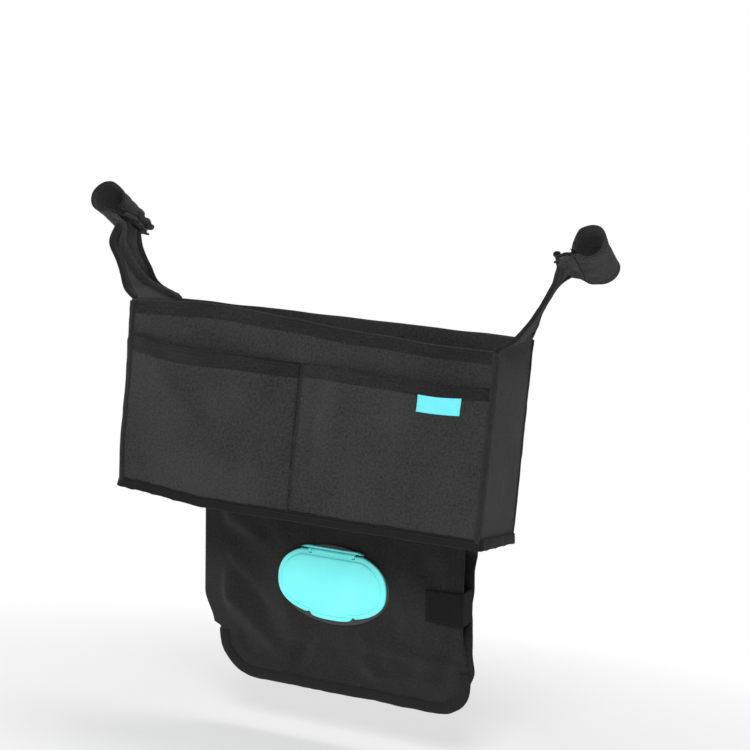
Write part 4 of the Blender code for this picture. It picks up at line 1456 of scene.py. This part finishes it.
def make_pad():
    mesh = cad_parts["changing_pad"].data.copy()
    made = bpy.data.objects.new("changing_pad_quilt", mesh)
    bpy.context.scene.collection.objects.link(made)
    mesh.materials.clear()
    mesh.materials.append(pad_cloth)
    remesh = made.modifiers.new("cells", 'REMESH')
    remesh.mode = 'VOXEL'
    remesh.voxel_size = pad_cell
    apply_modifiers(made)
    rest = np.array([vertex.co for vertex in made.data.vertices])
    cloth = made.modifiers.new("quilt", 'CLOTH')
    cloth.settings.use_pressure = True
    cloth.settings.uniform_pressure_force = pad_pressure
    cloth.settings.quality = 4
    cloth.settings.effector_weights.gravity = 0
    cloth.collision_settings.use_collision = False
    for number in range(1, pad_frames + 1):
        bpy.context.scene.frame_set(number)
    graph = bpy.context.evaluated_depsgraph_get()
    swollen = made.evaluated_get(graph).to_mesh()
    moved = np.array([vertex.co for vertex in swollen.vertices]) - rest
    made.evaluated_get(graph).to_mesh_clear()
    made.modifiers.clear()
    size = np.linalg.norm(moved, axis=1, keepdims=True)
    moved *= np.minimum(1, pad_cap / np.maximum(size, 1e-9))
    made.data.vertices.foreach_set("co", (rest + moved).ravel())
    bpy.context.scene.frame_set(1)
    made.data.shade_smooth()
    if not made.data.materials:
        made.data.materials.append(pad_cloth)
    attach(made, "bag")
    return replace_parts(made, "changing_pad")


pad = make_pad()
print("changing pad", len(pad.data.polygons), "faces")

# %% [markdown]
# The closure tab comes from the back cover round the open side and sticks to the front. Its free
# top edge lifts a little, so a dark line shows above it.

# %% Closure tab
tab_low, tab_high = 0.062, 0.094
tab_reach = 0.036
tab_cloth = 0.0018
tab_patch = 0.0012


def make_tab():
    """The tab and the grid of its outer points."""
    edge = case_shift + case_width / 2
    middle = (tab_low + tab_high) / 2
    front = 2 * clearance + tab_patch + tab_cloth
    back = -case_depth - clearance - tab_cloth
    side_x = edge + clearance + tab_cloth
    turn = np.radians(np.linspace(0, 90, 7))
    radius = 0.004
    path = [(x, front) for x in np.linspace(edge - tab_reach, side_x - radius, 16)]
    path += [(side_x - radius + radius * math.sin(t), front - radius + radius * math.cos(t))
             for t in turn[1:]]
    path += [(side_x, n) for n in np.linspace(front - radius, back + radius, 8)[1:]]
    path += [(side_x - radius + radius * math.cos(t), back + radius - radius * math.sin(t))
             for t in turn[1:]]
    path += [(x, back) for x in np.linspace(side_x - radius, edge - tab_reach, 14)[1:]]
    path = np.array(path)
    downs = stations(tab_low, tab_high, 0.0016)
    x = np.broadcast_to(path[:, 0], (len(downs), len(path)))
    n = np.broadcast_to(path[:, 1], x.shape)
    down = np.broadcast_to(downs[:, None], x.shape)
    run = distance_along(path)
    on_front = ease((n - front + 0.004) / 0.004)
    lift = 0.0016 * ease((tab_low + 0.009 - down) / 0.009) * on_front
    lift += swell(run[None, :] + x * 0, down, 0.014, 131) * 0.0005 * on_front
    taper = (down - middle) * (1 - 0.05 * ease((edge - x) / tab_reach) * on_front)
    outer = in_case(x, middle + taper, n + lift)
    made = add_shell("closure_tab", outer, tab_cloth, outward_of(path, len(downs)), tab_finish)
    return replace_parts(made, "closure_tab"), outer


def outward_of(path, rows):
    """Outward directions of a strip that wraps round the case, one for each point."""
    away = right_of(path)
    away *= np.sign((away * (path - np.array((path[:, 0].min(), path[:, 1].mean())))).sum())
    vectors = away[:, :1] * np.array((1.0, 0, 0)) + away[:, 1:] * case_off
    return np.broadcast_to(vectors, (rows,) + vectors.shape)


tab, tab_grid = make_tab()
print("tab", tab_grid.shape[:2])

# %% [markdown]
# The dispenser's base is lofted from oval rings: the neck that passes through the cover, the seal
# rim and a flange with a rounded edge. Two ears carry the lid's pips.

# %% Dispenser base
flange_half = (0.061, 0.040)
flange_top = clearance + 0.002
seal_rim = 0.002
hinge_off = 0.0045
hinge_rise = dispenser_down - hinge_down
barrel_half = 0.0215
barrel_radius = 0.0019
pip_radius = 0.0011
ear_radius, ear_width = 0.0025, 0.003
chamfer = 0.0003
neck_low = -0.005


def dispenser_point(x, up, off):
    """Points given from the dispenser's centre: across, up the case's face and off it."""
    return in_case(x, dispenser_down - np.asarray(up, float), off)


def bar(name, radius, half, facets):
    """Round bar on the hinge line, half as long to either side, with chamfered ends."""
    turn = np.linspace(0, 2 * pi, facets, endpoint=False)
    tip = 1 - chamfer / radius
    rings = []
    for x, share in ((-half, tip), (chamfer - half, 1), (half - chamfer, 1), (half, tip)):
        rings.append(dispenser_point(x, hinge_rise + radius * share * np.sin(turn),
                                     hinge_off + radius * share * np.cos(turn)))
    rings = np.stack(rings)
    return add_rings(name, rings, bare(rings), lid_plastic, None)


def join(target, others):
    """Joins other objects' meshes into the target's and removes them."""
    work = bmesh.new()
    work.from_mesh(target.data)
    for other in others:
        work.from_mesh(other.data)
    work.to_mesh(target.data)
    work.free()
    for other in others:
        bpy.data.objects.remove(other, do_unlink=True)


def make_ear(side):
    """A round ear beside the hinge's barrel, which holds one of the lid's pips."""
    turn = np.radians(np.linspace(0, 180, 19))
    foot = flange_top - 0.0010 - hinge_off
    section = [(ear_radius, foot)]
    section += [(ear_radius * math.cos(t), ear_radius * math.sin(t)) for t in turn]
    section = np.array(section + [(-ear_radius, foot)])
    centre = section.mean(axis=0)
    inner = side * (barrel_half + clearance)
    outer = inner + side * ear_width
    bevel = side * chamfer
    rings = []
    for x, share in ((inner, 0.90), (inner + bevel, 1), (outer - bevel, 1), (outer, 0.90)):
        points = centre + (section - centre) * share
        rings.append(dispenser_point(x, hinge_rise + points[:, 0], hinge_off + points[:, 1]))
    rings = np.stack(rings)
    return add_rings("ear", rings, bare(rings), base_plastic, None)


def make_base():
    neck = tuple(half + neck_wall for half in opening_half)
    top, edge = flange_top, 0.0007
    seal = top + seal_rim
    levels = ((opening_half, 0, neck_low + 0.0002), (opening_half, 0, seal - 0.0005),
              (opening_half, 0.00015, seal - 0.00015), (opening_half, 0.0006, seal),
              (neck, -0.0006, seal), (neck, -0.00015, seal - 0.00015), (neck, 0, seal - 0.0005),
              (neck, 0, top + 0.0004), (neck, 0.0004, top),
              (flange_half, -edge * 2.5, top), (flange_half, -edge, top - 0.00002),
              (flange_half, -edge * 0.3, top - edge * 0.3), (flange_half, 0, top - edge),
              (flange_half, 0, clearance + 0.0003), (flange_half, -0.0003, clearance),
              (neck, 0.0001, clearance), (neck, 0, clearance - 0.0001),
              (neck, 0, neck_low + 0.0002), (neck, -0.0002, neck_low),
              (opening_half, 0.0002, neck_low))
    count = 128
    rings = []
    for half, grow, off in levels:
        across, along = oval(half[0] + grow, half[1] + grow, count)
        rings.append(dispenser_point(across, along, off))
    rings = np.stack(rings)
    faces = ring_faces(len(rings), count)
    faces += band_faces((len(rings) - 1) * count, 0, count)
    made = add_mesh("dispenser_base", rings.reshape(-1, 3), faces, bare(rings).reshape(-1, 2),
                    base_plastic)
    made.data.materials.append(lid_plastic)
    plain_faces = len(made.data.polygons)
    join(made, [make_ear(-1), make_ear(1), hinge_strip()])
    for face in list(made.data.polygons)[plain_faces:]:
        face.material_index = 1
    made.data.set_sharp_from_angle(angle=math.radians(40))
    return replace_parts(made, "dispenser_base")


def hinge_strip():
    """Rounded strip behind the hinge, in the lid's colour, moulded on the base."""
    low_up, high_up, half = hinge_rise + 0.0021, hinge_rise + 0.0042, 0.0335
    top = hinge_off + 0.0006
    xs = np.linspace(-half, half, 61)
    crest = np.minimum(high_up, 0.0396 * (1 - (np.abs(xs) / 0.0605) ** 2.4) ** 0.415)
    levels = ((0, flange_top - 0.0005), (0, top - 0.0007), (0.0002, top - 0.0002), (0.0006, top))
    rings = []
    for grow, off in levels:
        across = xs * (1 - grow * 9)
        lower = xs * 0 + low_up + grow * 0.5
        upper = np.maximum(crest - grow, low_up + grow * 0.5 + 0.0001)
        ring = np.concatenate((np.column_stack((across, upper)),
                               np.column_stack((across, lower))[::-1]))
        rings.append(dispenser_point(ring[:, 0], ring[:, 1], off))
    rings = np.stack(rings)
    return add_rings("hinge_strip", rings, bare(rings), lid_plastic, None)


base = make_base()
print("dispenser base", len(base.data.polygons), "faces")

# %% [markdown]
# The lid is one moulded cap. Its outline is an oval with a straight edge at the hinge and a thumb
# lobe between two notches. A narrow border runs round it, and inside that a step rises to the
# softly domed face. The underside has its own ring that seals on the base's rim.

# %% Dispenser lid
lid_half = 0.0585
lid_up, lid_down_reach = 0.0375, 0.0322
lobe_half, lobe_drop = 0.023, 0.0028
lid_skirt, lid_rise, lid_wall = 0.0028, 0.0028, 0.0014
lid_low = flange_top + clearance


def lid_outline():
    """The lid's outline from its centre, anticlockwise, with round corners."""
    count, squareness = 288, 0.83
    turn = np.linspace(0, 2 * pi, count * 4, endpoint=False)
    x = lid_half * np.sign(np.cos(turn)) * np.abs(np.cos(turn)) ** squareness
    up = np.sign(np.sin(turn)) * np.abs(np.sin(turn)) ** squareness
    up = np.where(up > 0, up * lid_up, up * lid_down_reach)
    up = np.minimum(up, hinge_rise)
    share = np.abs(x) / lobe_half
    lobe = lobe_drop * np.sqrt(np.maximum(1 - share ** 4, 0)) * (up < 0)
    notch = 0.0022 * bell(np.abs(x), lobe_half + 0.0006, 0.0013) * (up < 0)
    points = np.column_stack((x, up - lobe + notch))
    closed = np.concatenate((points, points[:1]))
    even = np.linspace(0, distance_along(closed)[-1], count, endpoint=False)
    return relaxed_ring(read_along(closed, even), 2)


def inset(points, distance):
    """The outline moved in by a distance, with its corners kept round."""
    heading = unit(np.roll(points, -1, 0) - np.roll(points, 1, 0))
    moved = points + np.column_stack((-heading[:, 1], heading[:, 0])) * distance
    return relaxed_ring(moved, int(distance * 3000))


def make_lid():
    outline = lid_outline()
    shoulder = lid_low + lid_skirt
    border = 0.0048
    step = border + 0.0018
    top = shoulder + lid_rise
    face_off = shoulder + 0.0020
    under_off = shoulder - lid_wall
    face = inset(outline, step)
    under = inset(outline, step + lid_wall * 0.6)
    centre = np.array((0.0, face[:, 1].mean()))
    dome = (0.93, 0.84, 0.72, 0.58, 0.42, 0.26, 0.10)
    rings, uvs = [], []

    def add_ring(ring, off):
        rings.append(dispenser_point(ring[:, 0], ring[:, 1], off))
        uvs.append(ring)

    def add_dome_ring(whole, share, off):
        add_ring(centre + (whole - centre) * share, off + (top - face_off) * (1 - share ** 2))

    for distance, off in ((0.0002, lid_low), (0.0, lid_low + 0.0002), (0.0, shoulder - 0.0010),
                          (0.0002, shoulder - 0.0004), (0.0007, shoulder),
                          (0.0014, shoulder + 0.0003), (border - 0.0012, shoulder + 0.0005),
                          (border - 0.0004, shoulder + 0.0006), (border, shoulder + 0.0010),
                          (border + 0.0003, shoulder + 0.0016),
                          (border + 0.0008, shoulder + 0.0019), (step, face_off)):
        add_ring(inset(outline, distance), off)
    for share in dome:
        add_dome_ring(face, share, face_off)
    outer_count = len(rings)
    for share in dome[::-1] + (1.0,):
        add_dome_ring(under, share, face_off - lid_wall)
    for distance, off in ((border + 0.0006, under_off + 0.0012),
                          (border - 0.001, under_off + 0.0005),
                          (lid_wall + 0.0006, under_off + 0.0003), (lid_wall, shoulder - 0.0010),
                          (lid_wall, lid_low + 0.0002), (lid_wall - 0.0002, lid_low)):
        add_ring(inset(outline, distance), off)
    rings, uvs = np.stack(rings), np.stack(uvs)
    count = len(outline)
    faces = []
    for row in range(len(rings)):
        if row != outer_count - 1:
            faces += band_faces(row * count, (row + 1) % len(rings) * count, count)
    faces.append(tuple(range((outer_count - 1) * count, outer_count * count)))
    faces.append(tuple(range(outer_count * count, (outer_count + 1) * count))[::-1])
    made = add_mesh("dispenser_lid", rings.reshape(-1, 3), faces, uvs.reshape(-1, 2),
                    lid_plastic, "lid")
    gap_low, gap_high = barrel_half, barrel_half + ear_width + 2 * clearance
    reach = ear_radius + 2 * clearance
    for side in (-1, 1):
        cut_box(made, sorted((side * gap_low, side * gap_high)), reach)
    join(made, [bar("barrel", barrel_radius, barrel_half, 32),
                bar("pips", pip_radius, gap_high - 2 * clearance, 20)])
    made.data.set_sharp_from_angle(angle=math.radians(55))
    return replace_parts(made, "dispenser_lid")


def cut_box(target, across, reach):
    """Cuts a notch for a hinge ear, as wide as across and reach tall either way."""
    corners = [dispenser_point(x, hinge_rise + up, off) for x in across for up in (-reach, reach)
               for off in (hinge_off - 0.010, hinge_off + 0.010)]
    faces = [(0, 1, 3, 2), (4, 6, 7, 5), (0, 4, 5, 1), (2, 3, 7, 6), (0, 2, 6, 4), (1, 5, 7, 3)]
    cut_with(target, add_mesh("notch", corners, faces, np.zeros((8, 2)), lid_plastic, None))


lid = make_lid()
print("lid", len(lid.data.polygons), "faces")

# %% [markdown]
# The hook and loop tapes lie flat where they are sewn, so the solid's own nodes stay. They only get
# their finishes.

# %% Finishes on nodes that stay
tapes = {"closure_hook_patch": hook_tape, "hanger_hook_strip": hook_tape,
         "hanger_loop_strip": loop_tape}
for name, material in tapes.items():
    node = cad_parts[name]
    if not node.material_slots:
        node.data.materials.append(material)
    for slot in node.material_slots:
        slot.material = material
print("finished", len(tapes), "nodes")

# %% [markdown]
# The cloth of each pocket is one sheet. Its cut size is worked out with the pocket above.

# %% Sheets
print("each pocket is one sheet")

# %% [markdown]
# The seams are lockstitched. A Geometry Nodes group puts one short stitch of thread on each vertex
# of a guide mesh, turns it along the seam with a little random lean, and gives it the thread's
# finish.

# %% Stitch nodes
stitch_length = 0.0026
stitch_pitch = 0.0033
stitch_radius = 0.00026


def stitch_group():
    """Node group that turns guide vertices into stitches."""
    group = bpy.data.node_groups.new("stitches", "GeometryNodeTree")
    face = group.interface
    face.new_socket("Geometry", in_out='INPUT', socket_type="NodeSocketGeometry")
    for name, value in (("Length", stitch_length), ("Radius", stitch_radius), ("Lean", 0.12)):
        face.new_socket(name, in_out='INPUT', socket_type="NodeSocketFloat").default_value = value
    face.new_socket("Seed", in_out='INPUT', socket_type="NodeSocketInt").default_value = 5
    face.new_socket("Thread", in_out='INPUT', socket_type="NodeSocketMaterial")
    face.new_socket("Geometry", in_out='OUTPUT', socket_type="NodeSocketGeometry")
    kinds = {"in": "NodeGroupInput", "out": "NodeGroupOutput", "ball": "GeometryNodeMeshUVSphere",
             "size": "ShaderNodeCombineXYZ", "half": "ShaderNodeMath",
             "heading": "GeometryNodeInputNamedAttribute", "lean": "FunctionNodeRandomValue",
             "least": "ShaderNodeMath", "aim": "ShaderNodeVectorMath",
             "turn": "FunctionNodeAlignRotationToVector", "place": "GeometryNodeInstanceOnPoints",
             "real": "GeometryNodeRealizeInstances", "finish": "GeometryNodeSetMaterial",
             "smooth": "GeometryNodeSetShadeSmooth"}
    made = {key: group.nodes.new(kind) for key, kind in kinds.items()}
    made["ball"].inputs["Segments"].default_value = 8
    made["ball"].inputs["Rings"].default_value = 5
    made["ball"].inputs["Radius"].default_value = 1.0
    for key, operation in (("half", 'MULTIPLY'), ("least", 'MULTIPLY'), ("aim", 'ADD')):
        made[key].operation = operation
    made["half"].inputs[1].default_value = 0.5
    made["least"].inputs[1].default_value = -1.0
    made["heading"].data_type = 'FLOAT_VECTOR'
    made["heading"].inputs["Name"].default_value = "heading"
    made["lean"].data_type = 'FLOAT_VECTOR'
    made["turn"].axis = 'X'
    links = (("in", "Length", "half", 0), ("half", 0, "size", "X"), ("in", "Radius", "size", "Y"),
             ("in", "Radius", "size", "Z"), ("in", "Lean", "least", 0), ("least", 0, "lean", "Min"),
             ("in", "Lean", "lean", "Max"), ("in", "Seed", "lean", "Seed"),
             ("heading", "Attribute", "aim", 0), ("lean", "Value", "aim", 1),
             ("aim", "Vector", "turn", "Vector"), ("in", "Geometry", "place", "Points"),
             ("ball", "Mesh", "place", "Instance"), ("turn", "Rotation", "place", "Rotation"),
             ("size", "Vector", "place", "Scale"), ("place", "Instances", "smooth", "Geometry"),
             ("smooth", "Geometry", "real", "Geometry"), ("real", "Geometry", "finish", "Geometry"),
             ("in", "Thread", "finish", "Material"), ("finish", "Geometry", "out", "Geometry"))
    for source, output, target, socket in links:
        group.links.new(made[source].outputs[output], made[target].inputs[socket])
    return group


stitches = stitch_group()
print("stitch group has", len(stitches.nodes), "nodes")

# %% [markdown]
# A seam is given roughly, as a line of points, and laid on the cloth by taking the nearest place on
# the piece. The stitches then stand at an even pitch along it, half sunk in the cloth.

# %% Stitch helpers
def laid(piece, line):
    """Stitch places and headings of a rough line of points laid on a piece."""
    places = np.arange(stitch_pitch / 2, distance_along(line)[-1], stitch_pitch)
    points = []
    for point in read_along(line, places):
        _, near, normal, _ = piece.closest_point_on_mesh(Vector(point))
        points.append(near + normal * stitch_radius * 0.35)
    points = np.array(points)
    return points, unit(np.gradient(points, axis=0))


def sew(name, seams, material=thread):
    """Makes one object with the stitches of several (piece, line) seams and counts them."""
    points, headings = zip(*(laid(piece, line) for piece, line in seams))
    points, headings = np.concatenate(points), np.concatenate(headings)
    guide = bpy.data.meshes.new(name)
    guide.from_pydata([tuple(point) for point in points], [], [])
    heading = guide.attributes.new("heading", 'FLOAT_VECTOR', 'POINT')
    heading.data.foreach_set("vector", headings.ravel())
    made = bpy.data.objects.new(name, guide)
    bpy.context.scene.collection.objects.link(made)
    modifier = made.modifiers.new("stitches", 'NODES')
    modifier.node_group = stitches
    sockets = {item.name: item.identifier for item in stitches.interface.items_tree
               if item.in_out == 'INPUT'}
    for key, value in (("Length", stitch_length), ("Radius", stitch_radius), ("Lean", 0.10),
                       ("Seed", 7), ("Thread", material)):
        modifier[sockets[key]] = value
    apply_modifiers(made)
    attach(made, "bag")
    return len(points)


def line_of(*points):
    """A finely divided line through a few corner points."""
    return divided(np.asarray(points, float), 0.004)


# %% [markdown]
# The seams of the bag: two rows on each rim hem with a box at the right end, two on each pocket
# hem, the shared pocket seam, the welts, the lip, the wing tapes and the cuff hems.

# %% Seams of the bag
def bag_seams():
    seams = []
    reach = half_width - 0.004
    for piece, face_y, top_z in ((front_wall, front_y - hem_proud, rim_z),
                                 (back_wall, back_y + hem_proud, back_rim_z)):
        for z in (top_z - hem_stitch, top_z - rim_hem + hem_stitch):
            seams.append((piece, settle(line_of((-reach, face_y, z), (reach, face_y, z)))))
    x, y = half_width - 0.0075, front_y - hem_proud
    high, low = rim_z - 0.002, rim_z - rim_hem + 0.001
    box = line_of((x, y, high), (x, y, low), (x - 0.003, y, low), (x - 0.003, y, high))
    seams.append((front_wall, settle(box)))
    for name, (piece, _) in pocket_pieces.items():
        low_x, high_x, _ = pockets[name]
        for z in (mouth_z - mouth_stitch, mouth_z - pocket_hem + pocket_stitch):
            xs = np.arange(low_x + 0.002, high_x - 0.001, 0.004)
            seams.append((piece, pocket_point(name, xs, xs * 0 + z)))
        x = seam_x - 0.0018 if name == "left_pocket" else seam_x + 0.0018
        zs = np.arange(pocket_foot_z + 0.002, mouth_z - 0.001, 0.004)
        seams.append((piece, pocket_point(name, zs * 0 + x, zs)))
    for prefix, side in sides:
        x, y = side * (half_width - 0.0042), front_y - 0.002
        welt_line = line_of((x, y, base_z + 0.004), (x, y, rim_z - 0.003))
        seams.append((welts[prefix], settle(welt_line)))
        grid = wings[prefix][lower_rows:len(wings[prefix]) - 10]
        inward = unit(grid[:, 2] - grid[:, 0])
        outboard = np.array((side * 0.002, 0, 0))
        seams.append((wing_tapes[prefix], grid[:, 0] + inward * (wing_leg - 0.0015) + outboard))
    inward = unit(lip_upper - lip_lower)
    for share in (0.62, 0.90):
        seams.append((lip, lip_lower + inward * lip_tape_leg * share + lip_away * 0.002))
    return seams


def cuff_seams():
    seams = []
    for prefix, _ in sides:
        for row in (3, -4):
            seams.append((cuff_pieces[prefix], cuffs[prefix][row, 6:110]))
    return seams


bag_count = sew("bag_stitches", bag_seams())
cuff_count = sew("cuff_stitches", cuff_seams())
print(bag_count, "stitches on the bag and", cuff_count, "on the cuffs")

# %% [markdown]
# The seams of the case: one row round its binding, the tab's edge and box, the strips on its flap,
# and the two short ends of the label, which are sewn with thread of its own colour.

# %% Seams of the case and the label
def case_seams():
    inner = in_case(rim_path[:, 0], rim_path[:, 1], 0.002) + rim_aim * (binding_leg - 0.0016)
    seams = [(case_tape, inner)]
    edge = case_shift + case_width / 2
    left, right = edge - tab_reach + 0.002, edge - 0.005
    low, high = tab_low + 0.002, tab_high - 0.002
    corners = ((right, high), (left, high), (left, low), (right, low))
    seams.append((tab, line_of(*[in_case(x, down, 0.004) for x, down in corners])))
    strip_low, strip_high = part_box("hanger_hook_strip")
    y = strip_high.y + 0.003
    x = strip_high.x - 0.002
    for z in (strip_low.z + 0.002, strip_high.z - 0.002):
        seams.append((case_back, line_of((-x, y, z), (x, y, z))))
    return seams


def label_seams():
    xs = (label_low.x + 0.0032, label_high.x - 0.0002)
    zs = np.arange(label_low.z + 0.005, label_high.z + 0.0018, 0.002)
    return [(label, pocket_point("right_pocket", zs * 0 + x, zs, 0.001)) for x in xs]


case_count = sew("case_stitches", case_seams())
label_count = sew("label_stitches", label_seams(), label_satin)
print(case_count, "stitches on the case and", label_count, "on the label")

# %% [markdown]
# The stage is a pale floor under the hanging bag and a white surround for the camera. Large soft
# lamps stand in front and above, so the black cloth shows its weave and folds.

# %% Stage and light
floor_z = cad_low.z - 0.05
floor_half = 6.0
world_light, world_white = 0.24, 1.0


def make_floor():
    """A square floor that fades to plain white away from the bag's shadow."""
    mesh = bpy.data.meshes.new("floor")
    corners = ((-1, -1), (1, -1), (1, 1), (-1, 1))
    mesh.from_pydata([(x * floor_half, y * floor_half, floor_z) for x, y in corners],
                     [], [(0, 1, 2, 3)])
    finish = Finish("floor", Roughness=0.9, Specular_IOR_Level=0.1, Base_Color=grey(0.92))
    _, (x, y, _) = finish.axes("Object")
    square = x * x + (y - 0.1) * (y - 0.1)
    far = square.maths('SQRT', square).limit(0.25, 0.75) * 0.55 + 0.45
    white = finish.node("ShaderNodeEmission", None, {"Color": (1, 1, 1, 1), "Strength": 1.0})
    lit = Wire(finish, finish.shader.outputs[0])
    blend = finish.node("ShaderNodeMixShader", None, {0: far, 1: lit, 2: white})
    finish.plug(blend, finish.tree.nodes["Material Output"].inputs["Surface"])
    mesh.materials.append(finish.material)
    made = bpy.data.objects.new("floor", mesh)
    bpy.context.scene.collection.objects.link(made)
    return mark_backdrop(made)


def make_world():
    """A dim white surround for the object that the camera sees as plain white."""
    world = bpy.data.worlds.new("surround")
    bpy.context.scene.world = world
    world.use_nodes = True
    tree = world.node_tree
    background, plain = tree.nodes["Background"], tree.nodes.new("ShaderNodeBackground")
    for node, strength in ((background, world_light), (plain, world_white)):
        node.inputs["Color"].default_value = (1.0, 1.0, 1.0, 1.0)
        node.inputs["Strength"].default_value = strength
    path = tree.nodes.new("ShaderNodeLightPath")
    mix = tree.nodes.new("ShaderNodeMixShader")
    tree.links.new(path.outputs["Is Camera Ray"], mix.inputs["Fac"])
    tree.links.new(background.outputs[0], mix.inputs[1])
    tree.links.new(plain.outputs[0], mix.inputs[2])
    tree.links.new(mix.outputs[0], tree.nodes["World Output"].inputs["Surface"])


def add_lamp(name, place, target, width, height, power):
    lamp = bpy.data.lights.new(name, 'AREA')
    lamp.shape = 'RECTANGLE'
    lamp.size, lamp.size_y = width, height
    lamp.energy = power
    made = bpy.data.objects.new(name, lamp)
    bpy.context.scene.collection.objects.link(made)
    aim = (Vector(target) - Vector(place)).to_track_quat('-Z', 'Y')
    made.matrix_world = Matrix.Translation(place) @ aim.to_matrix().to_4x4()


make_floor()
make_world()
middle = (0, 0, -0.2)
add_lamp("key", (0.75, -2.0, 0.85), middle, 0.7, 0.7, 38)
add_lamp("low front", (0.4, -1.9, -0.25), (0, 0, -0.35), 1.4, 0.4, 8)
add_lamp("fill", (-1.9, -1.0, 0.5), middle, 1.2, 1.2, 5)
add_lamp("top", (0.1, 0.3, 1.6), middle, 1.2, 1.0, 14)
bpy.context.scene.view_settings.view_transform = 'Standard'
print("floor at", round(floor_z, 3))
